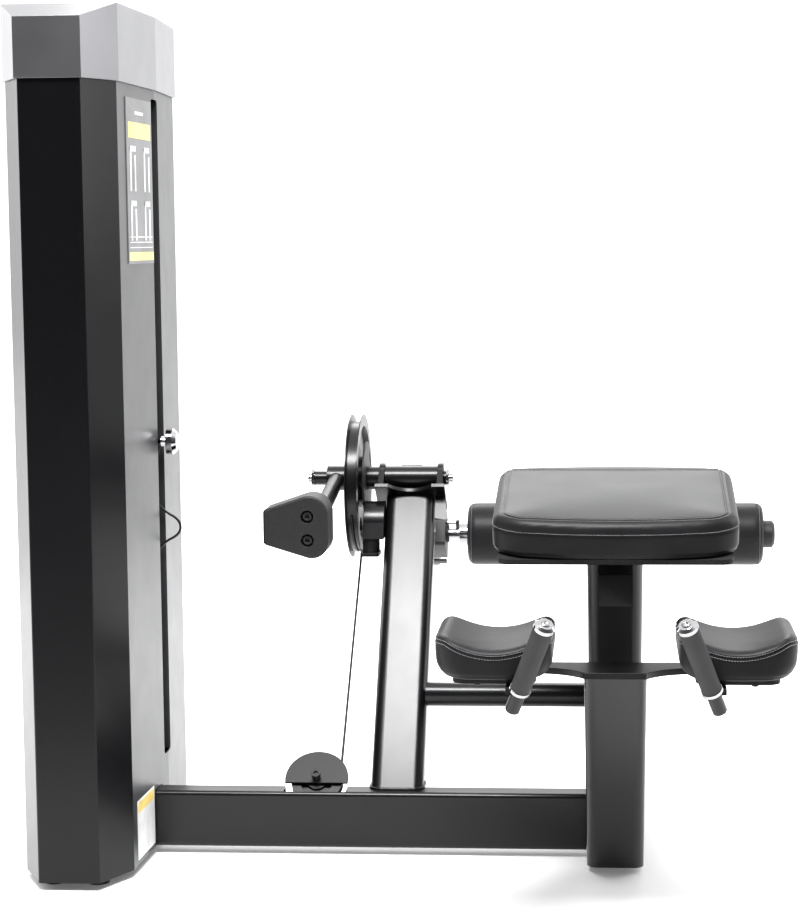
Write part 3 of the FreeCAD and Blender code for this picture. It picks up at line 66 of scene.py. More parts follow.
def make_camera():
    """A long lens just above the bench, in front of the machine, turned a little to its left."""
    pitch = math.radians(5.75)
    yaw = math.radians(3.92)
    roll = -0.0082
    level = Vector((-math.sin(yaw), math.cos(yaw), 0))
    side = Vector((math.cos(yaw), math.sin(yaw), 0))
    forward = level * math.cos(pitch) - Z_AXIS * math.sin(pitch)
    up = Z_AXIS * math.cos(pitch) + level * math.sin(pitch)
    right = side * math.cos(roll) + up * math.sin(roll)
    top = up * math.cos(roll) - side * math.sin(roll)
    camera = bpy.data.objects.new("camera", bpy.data.cameras.new("camera"))
    camera.data.lens = 86.3
    camera.data.sensor_width = 36
    camera.data.shift_x = -0.0652
    camera.data.clip_end = 60
    turn = Matrix((right, top, -forward)).transposed().to_4x4()
    camera.matrix_world = Matrix.Translation((-0.00835, -4.2232, 1.21)) @ turn
    SCENE.collection.objects.link(camera)
    SCENE.camera = camera


def area_light(name, at, target, width, height, radiance):
    """A soft box; radiance is how bright its face looks, so its power follows from its size."""
    light = bpy.data.lights.new(name, "AREA")
    light.shape = "RECTANGLE"
    light.size = width
    light.size_y = height
    light.energy = radiance * math.pi * width * height
    item = bpy.data.objects.new(name, light)
    item.location = at
    way = Vector(target) - Vector(at)
    item.rotation_euler = way.to_track_quat("-Z", "Y").to_euler()
    SCENE.collection.objects.link(item)


def make_world():
    """A studio: a white sweep behind the machine and overhead, a dim room on the camera's side."""
    world = bpy.data.worlds.new("studio")
    world.use_nodes = True
    tree = world.node_tree
    back = tree.nodes["Background"]
    back.inputs["Strength"].default_value = 1.0
    place = tree.nodes.new("ShaderNodeTexCoord")
    lean = tree.nodes.new("ShaderNodeVectorMath")
    lean.operation = "DOT_PRODUCT"
    lean.inputs[1].default_value = (0.0, 0.55, 0.75)
    stretch = tree.nodes.new("ShaderNodeMapRange")
    stretch.inputs["From Min"].default_value = -1
    stretch.inputs["From Max"].default_value = 1
    ramp = tree.nodes.new("ShaderNodeValToRGB")
    tree.links.new(place.outputs["Generated"], lean.inputs[0])
    tree.links.new(lean.outputs["Value"], stretch.inputs["Value"])
    tree.links.new(stretch.outputs["Result"], ramp.inputs["Fac"])
    tree.links.new(ramp.outputs["Color"], back.inputs["Color"])
    stops = ((0.2, 0.08), (0.5, 0.20), (0.57, 0.32), (0.74, 1.5), (1.0, 1.3))
    elements = ramp.color_ramp.elements
    while len(elements) < len(stops):
        elements.new(0.5)
    for element, (where, value) in zip(elements, stops):
        element.position = where
        element.color = (value, value, value, 1)
    SCENE.world = world


def make_floor():
    """A plain pale floor, wide enough for its far edge to be the horizon."""
    half = 14
    corners = [(-half, -half, 0), (half, -half, 0), (half, half, 0), (-half, half, 0)]
    mesh = bpy.data.meshes.new("floor")
    mesh.from_pydata(corners, [], [(0, 1, 2, 3)])
    floor = bpy.data.objects.new("floor", mesh)
    SCENE.collection.objects.link(floor)
    material = bpy.data.materials.new("floor_paint")
    material.use_nodes = True
    tree = material.node_tree
    shade = tree.nodes["Principled BSDF"]
    place = tree.nodes.new("ShaderNodeTexCoord")
    split = tree.nodes.new("ShaderNodeSeparateXYZ")
    tree.links.new(place.outputs["Object"], split.inputs[0])

    def fade(axis, start, end, low, high):
        """A value that runs from low to high between two places along an axis."""
        node = tree.nodes.new("ShaderNodeMapRange")
        for socket, value in (("From Min", start), ("From Max", end), ("To Min", low), ("To Max", high)):
            node.inputs[socket].default_value = value
        tree.links.new(split.outputs[axis], node.inputs["Value"])
        return node.outputs["Result"]

    def product(first, second):
        node = tree.nodes.new("ShaderNodeMath")
        node.operation = "MULTIPLY"
        tree.links.new(first, node.inputs[0])
        tree.links.new(second, node.inputs[1])
        return node.outputs[0]

    # painted shade and light: palest under and behind the machine, painted darker in front and far to the
    # sides, and lit a little from within towards the horizon by a painted glow
    aside = fade("X", 2.0, 3.4, 1.0, 0.6)
    tree.links.new(product(fade("Y", -1.9, -0.75, 0.42, 0.92), aside), shade.inputs["Base Color"])
    tree.links.new(product(fade("Y", -0.7, 2.0, 0.0, 0.65), aside), shade.inputs["Emission Strength"])
    for socket, value in (("Emission Color", (1, 1, 1, 1)), ("Roughness", 0.65), ("Specular IOR Level", 0.2)):
        shade.inputs[socket].default_value = value
    mesh.materials.append(material)


def make_studio():
    """Camera, sweep and floor, with a strong soft box overhead and weak ones at the sides and behind."""
    make_camera()
    make_world()
    make_floor()
    area_light("top_box", (-0.5, -1.9, 3.9), (-0.4, 0.1, 0.4), 1.9, 1.0, 36)
    area_light("left_box", (-4.2, 1.4, 1.6), (-1.0, 0.0, 0.8), 1.6, 3.0, 3.5)
    area_light("right_box", (3.6, 0.9, 2.2), (0.0, 0.0, 0.6), 1.4, 2.2, 3.0)
    area_light("rear_box", (-0.4, 3.6, 3.2), (-0.4, 0.0, 0.5), 3.0, 1.4, 4.0)
    SCENE.view_settings.view_transform = "Standard"
    SCENE.view_settings.look = "Medium High Contrast"


# ---------------------------------------------------------------- materials

class Shader:
    """A Principled material with a few short ways to add procedural detail."""

    def __init__(self, name, color, roughness, metallic=0.0, **constants):
        self.material = bpy.data.materials.new(name)
        self.material.use_nodes = True
        self.tree = self.material.node_tree
        self.shade = self.tree.nodes["Principled BSDF"]
        self.color = color
        self.shade.inputs["Base Color"].default_value = (*color, 1)
        self.shade.inputs["Roughness"].default_value = roughness
        self.shade.inputs["Metallic"].default_value = metallic
        for socket, value in constants.items():
            self.shade.inputs[socket.replace("_", " ")].default_value = value
        self.place = self.add("ShaderNodeTexCoord").outputs["Object"]
        self.normal = None

    def add(self, kind, **values):
        node = self.tree.nodes.new(kind)
        for key, value in values.items():
            if key.replace("_", " ") in node.inputs:
                node.inputs[key.replace("_", " ")].default_value = value
            else:
                setattr(node, key, value)
        return node

    def link(self, output, node, socket):
        self.tree.links.new(output, node.inputs[socket])

    def noise(self, scale, detail=3.0, rough=0.5):
        node = self.add("ShaderNodeTexNoise", Scale=scale, Detail=detail, Roughness=rough)
        self.link(self.place, node, "Vector")
        return node.outputs["Fac"]

    def cells(self, scale, feature="F1"):
        node = self.add("ShaderNodeTexVoronoi", Scale=scale, feature=feature)
        self.link(self.place, node, "Vector")
        return node.outputs["Distance"]

    def spread(self, source, low, high, start=0.0, end=1.0):
        """Map a pattern's values from start..end to low..high."""
        node = self.add("ShaderNodeMapRange", From_Min=start, From_Max=end, To_Min=low, To_Max=high)
        self.link(source, node, "Value")
        return node.outputs["Result"]

    def mix(self, factor, first, second):
        node = self.add("ShaderNodeMix", data_type="RGBA")
        self.link(factor, node, 0)
        for index, value in ((6, first), (7, second)):
            if isinstance(value, tuple):
                node.inputs[index].default_value = (*value, 1)
            else:
                self.link(value, node, index)
        return node.outputs[2]

    def tint(self, factor, first, second):
        self.link(self.mix(factor, first, second), self.shade, "Base Color")

    def roughen(self, source, low, high, start=0.3, end=0.7):
        self.link(self.spread(source, low, high, start, end), self.shade, "Roughness")

    def soft_edges(self, radius):
        """Shade sharp edges as if they were rounded, so that they catch a thin line of light."""
        node = self.add("ShaderNodeBevel", samples=4, Radius=radius)
        self.normal = node.outputs["Normal"]
        self.link(self.normal, self.shade, "Normal")
        return self.normal

    def edge_mask(self, radius):
        """1 along edges and 0 on faces: how far the rounded normal turns from the true one."""
        rounded = self.add("ShaderNodeBevel", samples=4, Radius=radius).outputs["Normal"]
        true = self.add("ShaderNodeNewGeometry").outputs["Normal"]
        dot = self.add("ShaderNodeVectorMath", operation="DOT_PRODUCT")
        self.tree.links.new(rounded, dot.inputs[0])
        self.tree.links.new(true, dot.inputs[1])
        return self.spread(dot.outputs["Value"], 0.0, 1.0, 0.995, 0.9)

    def bump(self, source, depth):
        """Raise the surface by depth metres where the pattern is 1."""
        node = self.add("ShaderNodeBump", Strength=1.0, Distance=depth)
        self.link(source, node, "Height")
        if self.normal is not None:
            self.link(self.normal, node, "Normal")
        self.normal = node.outputs["Normal"]
        self.link(self.normal, self.shade, "Normal")


def painted(name, color, roughness, peel=0.00003, speck=0.0, metallic=0.0, **constants):
    """Powder coat: faint orange peel, cloudy gloss, a lighter line along edges as a painted highlight, fine
    specks.
    """
    made = Shader(name, color, roughness, metallic, **constants)
    made.soft_edges(0.0016)
    # painted highlight: the base colour is lightened along edges, where rounded edges would catch a line of
    # light
    edge_highlight = made.edge_mask(0.0012)
    cloud = made.noise(7.0)
    light = tuple(value * 1.5 + 0.012 for value in color)
    base = made.mix(made.spread(cloud, 0.0, 1.0, 0.35, 0.65), color, tuple(value * 1.08 for value in color))
    if speck:
        dots = made.spread(made.cells(330.0), 1.0, 0.0, 0.02, 0.11)
        some = made.spread(made.noise(60.0), 0.0, speck, 0.5, 0.66)
        product = made.add("ShaderNodeMath", operation="MULTIPLY")
        made.tree.links.new(dots, product.inputs[0])
        made.tree.links.new(some, product.inputs[1])
        base = made.mix(product.outputs[0], base, (0.55, 0.55, 0.57))
    made.tint(edge_highlight, base, light)
    made.roughen(made.noise(18.0), roughness * 0.96, roughness * 1.06)
    made.bump(made.noise(900.0, 2.0), peel)
    return made.material


def textured(name, color, roughness, depth):
    """Cast or hammered finish: a fine pebbled skin."""
    made = Shader(name, color, roughness)
    made.soft_edges(0.0018)
    grain = made.noise(420.0, 4.0, 0.6)
    made.tint(made.spread(grain, 0.0, 1.0, 0.3, 0.7), tuple(value * 0.7 for value in color),
              tuple(value * 1.6 for value in color))
    made.roughen(grain, roughness * 0.85, roughness * 1.15)
    made.bump(grain, depth)
    return made.material


def metal(name, color, roughness, scratch=0.00001):
    """Plated or machined steel with faint hairlines and smudges."""
    made = Shader(name, color, roughness, 1.0)
    made.soft_edges(0.0008)
    smudge = made.noise(45.0, 4.0)
    made.tint(made.spread(smudge, 0.0, 1.0, 0.3, 0.7), tuple(value * 0.88 for value in color), color)
    made.roughen(smudge, roughness * 0.7, roughness * 1.5)
    made.bump(made.noise(1500.0, 2.0), scratch)
    return made.material


def moulded(name, color, roughness, depth=0.00004, scale=700.0, **constants):
    """Rubber or plastic with a fine moulded grain."""
    made = Shader(name, color, roughness, **constants)
    grain = made.noise(scale, 3.0, 0.6)
    cloud = made.spread(made.noise(14.0), 0.0, 1.0, 0.35, 0.65)
    made.tint(cloud, color, tuple(value * 1.35 for value in color))
    made.roughen(grain, roughness * 0.88, roughness * 1.12)
    made.bump(grain, depth)
    return made.material


def leather(name, color, roughness):
    """Upholstery vinyl: small rounded grain cells, broad creases, a soft uneven sheen."""
    made = Shader(name, color, roughness, Sheen_Weight=0.02, Sheen_Roughness=0.5, Specular_IOR_Level=0.20)
    cells = made.cells(620.0)
    folds = made.noise(38.0, 4.0, 0.55)
    wear = made.noise(9.0, 3.0)
    dark = tuple(value * 0.75 for value in color)
    light = tuple(value * 1.3 + 0.002 for value in color)
    base = made.mix(made.spread(wear, 0.0, 1.0, 0.35, 0.7), color, light)
    made.tint(made.spread(cells, 0.6, 0.0, 0.0, 0.5), base, dark)
    made.roughen(wear, roughness * 0.95, roughness * 1.08)
    made.bump(folds, 0.00015)
    made.bump(cells, 0.00006)
    return made.material


MATERIALS = {
    "black_gloss": painted("black_gloss", (0.006, 0.006, 0.007), 0.30, Coat_Weight=0.12, Coat_Roughness=0.18,
                           Specular_IOR_Level=0.40),
    "shroud_black": painted("shroud_black", (0.005, 0.005, 0.006), 0.24, speck=0.3, Coat_Weight=0.05,
                            Coat_Roughness=0.1, Specular_IOR_Level=0.32),
    "graphite": painted("graphite", (0.074, 0.075, 0.078), 0.34, peel=0.00004, speck=0.25, metallic=0.35),
    "cap": painted("cap", (0.25, 0.25, 0.26), 0.30, peel=0.00001, speck=0.1, metallic=0.88),
    "textured_black": textured("textured_black", (0.017, 0.017, 0.018), 0.52, 0.00022),
    "plate_black": textured("plate_black", (0.022, 0.022, 0.024), 0.5, 0.00012),
    "chrome": metal("chrome", (0.46, 0.46, 0.47), 0.10),
    "steel": metal("steel", (0.36, 0.36, 0.37), 0.27, 0.00002),
    "leather": leather("leather", (0.016, 0.016, 0.017), 0.40),
    "thread": moulded("thread", (0.17, 0.17, 0.175), 0.6, 0.00005, 3000.0),
    "board": moulded("board", (0.012, 0.012, 0.012), 0.7, 0.00008, 260.0),
    "rubber": moulded("rubber", (0.030, 0.030, 0.031), 0.62, 0.00007, 900.0),
    "cable": moulded("cable", (0.012, 0.012, 0.012), 0.4, 0.00003, 1200.0),
    "pulley": moulded("pulley", (0.016, 0.016, 0.017), 0.42, 0.00003, 500.0),
    "bearing": moulded("bearing", (0.02, 0.02, 0.02), 0.45, 0.00003, 500.0),
    "placard": moulded("placard", (0.16, 0.16, 0.165), 0.35, 0.00001, 300.0),
    "placard_mark": moulded("placard_mark", (0.72, 0.72, 0.72), 0.4, 0.00001, 300.0),
    "placard_band": moulded("placard_band", (0.80, 0.62, 0.22), 0.4, 0.00001, 300.0),
}
NODE_LOOKS = {
    "shroud_front": "shroud_black",
    "shroud_left": "graphite",
    "grip_tubes": "black_gloss",
    "shaft_caps": "chrome",
    "pivot_shaft": "black_gloss",
    "start_disc": "plate_black",
    "stop_lug": "black_gloss",
}


def dress_nodes():
    """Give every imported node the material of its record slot, or a look of its own."""
    slots = {row["node"]: row["material_slot"] for row in frame["record"]["subparts"]}
    for name, item in frame["nodes"].items():
        look = MATERIALS[NODE_LOOKS.get(name, slots[name])]
        item.data.materials.clear()
        item.data.materials.append(look)


# ---------------------------------------------------------------- mesh helpers

def piece(name, mesh, look, body, smooth=True):
    """Link a mesh as a named piece that rides on a body."""
    item = bpy.data.objects.new(name, mesh)
    SCENE.collection.objects.link(item)
    mesh.materials.clear()
    mesh.materials.append(MATERIALS[look])
    for face in mesh.polygons:
        face.use_smooth = smooth
    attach(item, body)
    return item


def mesh_of(name, vertices, faces):
    """A mesh from plain vertices and faces."""
    mesh = bpy.data.meshes.new(name)
    mesh.from_pydata([tuple(v) for v in vertices], [], faces)
    mesh.update()
    return mesh


def loft(rings, closed_ends=True):
    """Faces between equal rings of points, with the first and last ring filled."""
    count = len(rings[0])
    vertices = [point for ring in rings for point in ring]
    faces = []
    for r in range(len(rings) - 1):
        for i in range(count):
            j = (i + 1) % count
            faces.append((r * count + i, r * count + j, (r + 1) * count + j, (r + 1) * count + i))
    if closed_ends:
        faces.append(tuple(reversed(range(count))))
        faces.append(tuple(range((len(rings) - 1) * count, len(rings) * count)))
    return vertices, faces


def tube_along(points, radius, sides=8, closed=False):
    """Rings round a path; radius is a number or a function of the point's index."""
    rings = []
    total = len(points)
    for i, here in enumerate(points):
        before = points[i - 1] if (i or closed) else here
        after = points[(i + 1) % total] if (i < total - 1 or closed) else here
        way = (after - before).normalized()
        across = way.orthogonal() if abs(way.z) > 0.95 else way.cross(Z_AXIS)
        across.normalize()
        up = across.cross(way)
        size = radius(i) if callable(radius) else radius
        rings.append([here + (across * math.cos(a) + up * math.sin(a)) * size
                      for a in (2 * math.pi * k / sides for k in range(sides))])
    if closed:
        rings.append(rings[0])
    return loft(rings, not closed)


def joined(name, parts):
    """One mesh from several (vertices, faces) pairs."""
    vertices, faces = [], []
    for more_vertices, more_faces in parts:
        start = len(vertices)
        vertices.extend(more_vertices)
        faces.extend(tuple(index + start for index in face) for face in more_faces)
    mesh = mesh_of(name, vertices, faces)
    work = bmesh.new()
    work.from_mesh(mesh)
    bmesh.ops.remove_doubles(work, verts=work.verts, dist=1e-6)
    bmesh.ops.recalc_face_normals(work, faces=work.faces)
    work.to_mesh(mesh)
    work.free()
    return mesh


# ---------------------------------------------------------------- upholstery

def rounded_outline(width, length, front_radius, rear_radius, bulge, inset, count=44):
    """Plan of a cushion, front towards -Y: round corners, and a front edge that bows outwards."""
    half_x = width / 2 - inset
    half_y = length / 2 - inset
    corners = ((half_x, half_y, rear_radius, 0), (-half_x, half_y, rear_radius, 90),
               (-half_x, -half_y, front_radius, 180), (half_x, -half_y, front_radius, 270))
    points = []
    for x, y, radius, start in corners:
        radius = max(radius - inset, 0.002)
        centre_x = x - math.copysign(radius, x)
        centre_y = y - math.copysign(radius, y)
        for k in range(count // 4):
            a = math.radians(start + 90 * k / (count // 4 - 1))
            points.append([centre_x + radius * math.cos(a), centre_y + radius * math.sin(a)])
    dense = []
    for i, here in enumerate(points):
        after = points[(i + 1) % len(points)]
        steps = 10 if (i + 1) % (count // 4) == 0 else 1
        for k in range(steps):
            dense.append([a + (b - a) * k / steps for a, b in zip(here, after)])
    for point in dense:
        share = min(max(-point[1] / (length / 2), 0.0), 1.0)
        point[1] += bulge * (2 * point[0] / width) ** 2 * share ** 2
    return dense


class Cushion:
    """A cushion's base form, given as rings of (inset, share of the height, extra height).

    Its corners have a front and a rear radius, and its front edge bows out by bulge. A saddle lowers the
    middle of its top; taper is how far its sides curve in at the base, and up to which height.
    """

    def __init__(self, node, place, width, length, thick, front_radius, rear_radius, bulge, rings, seams,
                 saddle=0.0, taper=(0.0, 0.045)):
        self.node = node
        self.place = place
        self.size = (width, length, thick)
        self.corner = (front_radius, rear_radius, bulge)
        self.rings = rings
        self.seams = seams
        self.saddle = saddle
        self.taper = taper

    def height(self, x):
        """The top's height over the base: lower in the middle for a saddle."""
        width, _, thick = self.size
        horn = 0.018
        share = min(abs(x) / (width / 2 - horn), 1.0)
        return thick - self.saddle * (1 - share ** 2)

    def ring(self, inset, share, extra):
        """The plan's outline set in by inset, at a share of the top's height plus extra."""
        width, length, _ = self.size
        front, rear, bulge = self.corner
        spots = []
        for x, y in rounded_outline(width, length, front, rear, bulge, inset):
            z = share * self.height(x) + extra
            spots.append(self.place @ Vector((x * self.narrowing(z), y, z)))
        return spots

    def narrowing(self, z):
        """How much narrower the cushion is low down, where its sides curve in."""
        reach, tall = self.taper
        gone = 1 - min(max(z / tall, 0.0), 1.0)
        return 1 - reach * (1 - math.sqrt(1 - gone ** 2)) / (self.size[0] / 2)

    def seam_paths(self):
        """The line of each seam on the base form."""
        return [self.ring(*seam[:3]) for seam in self.seams]

    def base(self):
        vertices, faces = loft([self.ring(*row) for row in self.rings])
        mesh = joined(self.node + "_form", [(vertices, faces)])
        item = bpy.data.objects.new(self.node + "_cover", mesh)
        SCENE.collection.objects.link(item)
        return item


def apply_modifiers(item):
    """Replace a piece's mesh by what its modifiers make of it."""
    graph = bpy.context.evaluated_depsgraph_get()
    mesh = bpy.data.meshes.new_from_object(item.evaluated_get(graph))
    item.modifiers.clear()
    item.data = mesh


def remesh(item, voxel):
    """Even faces over a closed form, so that the cloth moves evenly."""
    modifier = item.modifiers.new("remesh", "REMESH")
    modifier.mode = "VOXEL"
    modifier.voxel_size = voxel
    smooth = item.modifiers.new("smooth", "SMOOTH")
    smooth.factor = 0.5
    smooth.iterations = 4
    apply_modifiers(item)


def coordinates(mesh):
    """A mesh's vertices as rows of x, y and z."""
    values = np.zeros(len(mesh.vertices) * 3, np.float32)
    mesh.vertices.foreach_get("co", values)
    return values.reshape(-1, 3).astype(float)


def distance_to_paths(points, paths):
    """Each point's distance to the nearest path vertex; the paths are sampled finely."""
    dense = []
    for path in paths:
        for here, after in zip(path, path[1:] + path[:1]):
            steps = max(1, int((after - here).length / 0.003))
            dense.extend(tuple(here.lerp(after, k / steps)) for k in range(steps))
    dense = np.array(dense)
    nearest = np.full(len(points), 1e9)
    for start in range(0, len(dense), 200):
        block = dense[start:start + 200]
        gaps = np.linalg.norm(points[:, None, :] - block[None, :, :], axis=2).min(1)
        nearest = np.minimum(nearest, gaps)
    return nearest


def inflate(items, pinned, pressure=4.0, cap=0.005, frames=20):
    """Cloth under pressure, held along its seams and underside; no point moves further than cap."""
    starts = {}
    for item in items:
        starts[item.name] = coordinates(item.data)
        group = item.vertex_groups.new(name="held")
        for index, weight in enumerate(pinned[item.name]):
            group.add([index], float(weight), "REPLACE")
        cloth = item.modifiers.new("cloth", "CLOTH")
        settings = cloth.settings
        settings.quality = 4
        settings.mass = 0.2
        settings.tension_stiffness = 12
        settings.compression_stiffness = 12
        settings.shear_stiffness = 6
        settings.bending_stiffness = 0.4
        settings.use_pressure = True
        settings.uniform_pressure_force = pressure
        settings.effector_weights.gravity = 0
        settings.vertex_group_mass = "held"
        cloth.collision_settings.use_collision = False
        cloth.point_cache.frame_start = 1
        cloth.point_cache.frame_end = frames
    for step in range(1, frames + 1):
        SCENE.frame_set(step)
    graph = bpy.context.evaluated_depsgraph_get()
    for item in items:
        blown = item.evaluated_get(graph).to_mesh()
        after = coordinates(blown)
        item.evaluated_get(graph).to_mesh_clear()
        before = starts[item.name]
        move = after - before
        length = np.linalg.norm(move, axis=1, keepdims=True)
        move *= np.minimum(1.0, cap / np.maximum(length, 1e-9))
        item.modifiers.clear()
        item.vertex_groups.clear()
        item.data.vertices.foreach_set("co", (before + move).astype(np.float32).ravel())
        item.data.update()
    SCENE.frame_set(1)


def subdivide(item):
    """One level of smooth subdivision, applied."""
    modifier = item.modifiers.new("subdivision", "SUBSURF")
    modifier.levels = 1
    modifier.render_levels = 1
    apply_modifiers(item)


def sew(item, paths, depth=0.0016, width=0.0026):
    """Press a groove into the cover along each seam."""
    mesh = item.data
    points = coordinates(mesh)
    normals = np.zeros(len(mesh.vertices) * 3, np.float32)
    mesh.vertices.foreach_get("normal", normals)
    gap = distance_to_paths(points, paths)
    press = depth * np.exp(-(gap / width) ** 2)
    points -= normals.reshape(-1, 3) * press[:, None]
    mesh.vertices.foreach_set("co", points.astype(np.float32).ravel())
    mesh.update()


def even_points(path, pitch):
    """Points at an even pitch along a closed path."""
    lengths = [(after - here).length for here, after in zip(path, path[1:] + path[:1])]
    total = sum(lengths)
    count = int(total / pitch)
    found = []
    index, passed = 0, 0.0
    for k in range(count):
        wanted = total * k / count
        while passed + lengths[index] < wanted:
            passed += lengths[index]
            index += 1
        share = (wanted - passed) / max(lengths[index], 1e-9)
        found.append(path[index].lerp(path[(index + 1) % len(path)], share))
    return found


def stitches(name, item, rows, body, pitch=0.0046, thread=0.00055):
    """Short raised threads along a cover's seams; each row is (path, offset to one side)."""
    mesh = item.data
    tree = BVHTree.FromPolygons([v.co for v in mesh.vertices], [p.vertices for p in mesh.polygons])
    parts = []
    for path, offset in rows:
        marks = even_points(path, pitch)
        for here, after in zip(marks, marks[1:] + marks[:1]):
            _, normal, _, _ = tree.find_nearest(here)
            way = (after - here).normalized()
            side = normal.cross(way).normalized()
            ends = []
            for share in (0.12, 0.5, 0.88):
                wanted = here.lerp(after, share) + side * offset
                found, facing, _, _ = tree.find_nearest(wanted)
                lift = thread * (0.9 if share == 0.5 else 0.15)
                ends.append(found + facing * lift)
            parts.append(tube_along(ends, lambda i: thread * (1.0, 1.25, 1.0)[i], 6))
    return piece(name, joined(name, parts), "thread", body)


def cushion_rings(shoulder, crown, lean, reach, pitch):
    """Rings from the base's middle, up the wall and over the shoulder, to the crown of a boxed cushion.

    The shoulder is a quarter round that is wider than it is tall by lean; from it the top rises by crown in
    rings a pitch apart until they reach the middle.
    """
    wall = 0.0012
    rows = [(0.060, 0.0, 0.0005), (0.014, 0.0, 0.0), (0.005, 0.0, 0.001), (0.0015, 0.0, 0.006)]
    rows += [(wall, 0.3, 0.0), (wall, 0.55, 0.0)]
    for k in range(7):
        a = math.radians(90 * k / 6)
        inset = wall + (shoulder + lean) * (1 - math.cos(a))
        rows.append((inset, 1.0, -crown - shoulder * (1 - math.sin(a))))
    start = wall + shoulder + lean
    inset = start
    while inset + pitch < reach:
        inset += pitch
        share = (inset - start) / (reach - start)
        rows.append((inset, 1.0, -crown * (1 - share) ** 2))
    return rows


def block_place(node, slope):
    """Frame of a tilted cushion block: its centre is its box's centre, z starts at its base."""
    low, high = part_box(node)
    base = Matrix.Translation((0, 0, -PAD_THICK / 2))
    return Matrix.Translation((low + high) / 2) @ Matrix.Rotation(slope, 4, "X") @ base


PAD_THICK = 0.072
HIP_PAD_THICK = 0.065
CHEST_SLOPE = math.radians(10.5)
HIP_SLOPE = math.radians(-8.5)
CHEST_LENGTH = 0.335
HIP_LENGTH = 0.530
THREAD_OFFSET = 0.0030
# a seam is (inset, share of height, extra height, its rows of thread as offsets to one side)
FOOT_SEAM = (0.0018, 0.0, 0.0060, ())
BENCH_SEAMS = [(0.0200, 1.0, -0.0050, (THREAD_OFFSET, -THREAD_OFFSET)), (0.0012, 1.0, -0.0290, (0.0032,)),
               FOOT_SEAM]
ELBOW_SEAMS = [(0.0012, 1.0, -0.0145, (THREAD_OFFSET, -THREAD_OFFSET)), FOOT_SEAM]


def cushion_forms():
    """The chest and hip cushions, which meet at the crest, and the two hollowed elbow pads."""
    low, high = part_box("chest_pad")
    width = high.x - low.x
    rings = cushion_rings(0.020, 0.004, 0.006, 0.09, 0.02)
    forms = [
        Cushion("chest_pad", block_place("chest_pad", CHEST_SLOPE), width, CHEST_LENGTH, PAD_THICK,
                0.060, 0.022, 0.026, rings, BENCH_SEAMS),
        Cushion("hip_pad", block_place("hip_pad", HIP_SLOPE), width, HIP_LENGTH, HIP_PAD_THICK,
                0.022, 0.055, 0.0, rings, BENCH_SEAMS),
    ]
    rings = cushion_rings(0.013, 0.002, 0.006, 0.094, 0.007)
    for node in ("elbow_pad_left", "elbow_pad_right"):
        low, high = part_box(node)
        size = high - low
        place = Matrix.Translation(((low.x + high.x) / 2, (low.y + high.y) / 2, low.z))
        forms.append(Cushion(node, place, size.x, size.y, size.z, 0.050, 0.045, 0.010,
                             rings, ELBOW_SEAMS, saddle=0.023, taper=(0.024, 0.036)))
    return forms


def make_cushions():
    """Sewn covers: a smooth form, blown up as cloth between its seams, then pressed in and stitched."""
    cushions = cushion_forms()
    items = []
    pinned = {}
    for cushion in cushions:
        item = cushion.base()
        remesh(item, 0.0045)
        points = coordinates(item.data)
        gap = distance_to_paths(points, cushion.seam_paths())
        inverse = np.array(cushion.place.inverted())
        local_z = (points @ inverse[:3, :3].T + inverse[:3, 3])[:, 2]
        seam_grip = 0.006
        base_height = 0.004
        held = np.clip(1.4 - gap / seam_grip, 0.0, 1.0)
        held = np.maximum(held, (local_z < base_height).astype(float))
        if cushion.saddle:
            # a hollow top buckles under full pressure, so its foam is taken to be firmer
            held = np.maximum(held, 0.6)
        pinned[item.name] = held
        items.append(item)
    inflate(items, pinned)
    for cushion, item in zip(cushions, items):
        subdivide(item)
        paths = cushion.seam_paths()
        sew(item, paths)
        finish_soft(item, cushion.node, "frame")
        rows = [(path, offset) for path, seam in zip(paths, cushion.seams) for offset in seam[3]]
        stitches(cushion.node + "_stitching", item, rows, "frame")


def finish_soft(item, node, body):
    """Leather, body and node of a finished soft piece."""
    item.data.materials.clear()
    item.data.materials.append(MATERIALS["leather"])
    for face in item.data.polygons:
        face.use_smooth = True
    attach(item, body)
    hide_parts(node)


def make_roller():
    """Foam roller in a sewn sleeve: soft round ends drawn in at two end seams."""
    low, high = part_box("roller_pad")
    at = Vector((low.x, (low.y + high.y) / 2, (low.z + high.z) / 2))
    radius = (high.z - low.z) / 2
    length = high.x - low.x
    bore = 0.0165
    shoulder = 0.017
    profile = [(bore, 0.006), (0.034, 0.0035), (radius - 0.020, 0.0)]
    for k in range(1, 7):
        a = math.radians(90 * k / 6)
        profile.append((radius - shoulder + shoulder * math.sin(a), shoulder - shoulder * math.cos(a)))
    count = 46
    for k in range(1, count):
        profile.append((radius, shoulder + (length - 2 * shoulder) * k / count))
    profile += [(r, length - x) for r, x in reversed(profile[:9])]
    sides = 84
    rings = []
    for r, x in profile:
        rings.append([at + Vector((x, r * math.sin(a), r * math.cos(a)))
                      for a in (2 * math.pi * k / sides for k in range(sides))])
    vertices, faces = loft(rings, False)
    inner = [(len(rings) - 1) * sides + i for i in range(sides)]
    for i in range(sides):
        j = (i + 1) % sides
        faces.append((i, inner[i], inner[j], j))
    mesh = joined("roller_form", [(vertices, faces)])
    item = bpy.data.objects.new("roller_cover", mesh)
    SCENE.collection.objects.link(item)
    seam_radius = radius - 0.0008
    seams = []
    for x in (0.013, length - 0.013):
        seams.append([at + Vector((x, seam_radius * math.sin(a), seam_radius * math.cos(a)))
                      for a in (2 * math.pi * k / sides for k in range(sides))])
    points = coordinates(item.data)
    offsets = points - np.array(at)
    across = np.linalg.norm(offsets[:, 1:], axis=1)
    gap = distance_to_paths(points, seams)
    held = np.clip(1.3 - gap / 0.008, 0.0, 1.0)
    held = np.maximum(held, (across < 0.040).astype(float))
    inflate([item], {item.name: held}, pressure=3.0, cap=0.0022)
    subdivide(item)
    sew(item, seams, 0.0014, 0.0024)
    finish_soft(item, "roller_pad", "roller")
    rows = [(seams[0], 0.0032), (seams[1], -0.0032)]
    stitches("roller_stitching", item, rows, "roller")


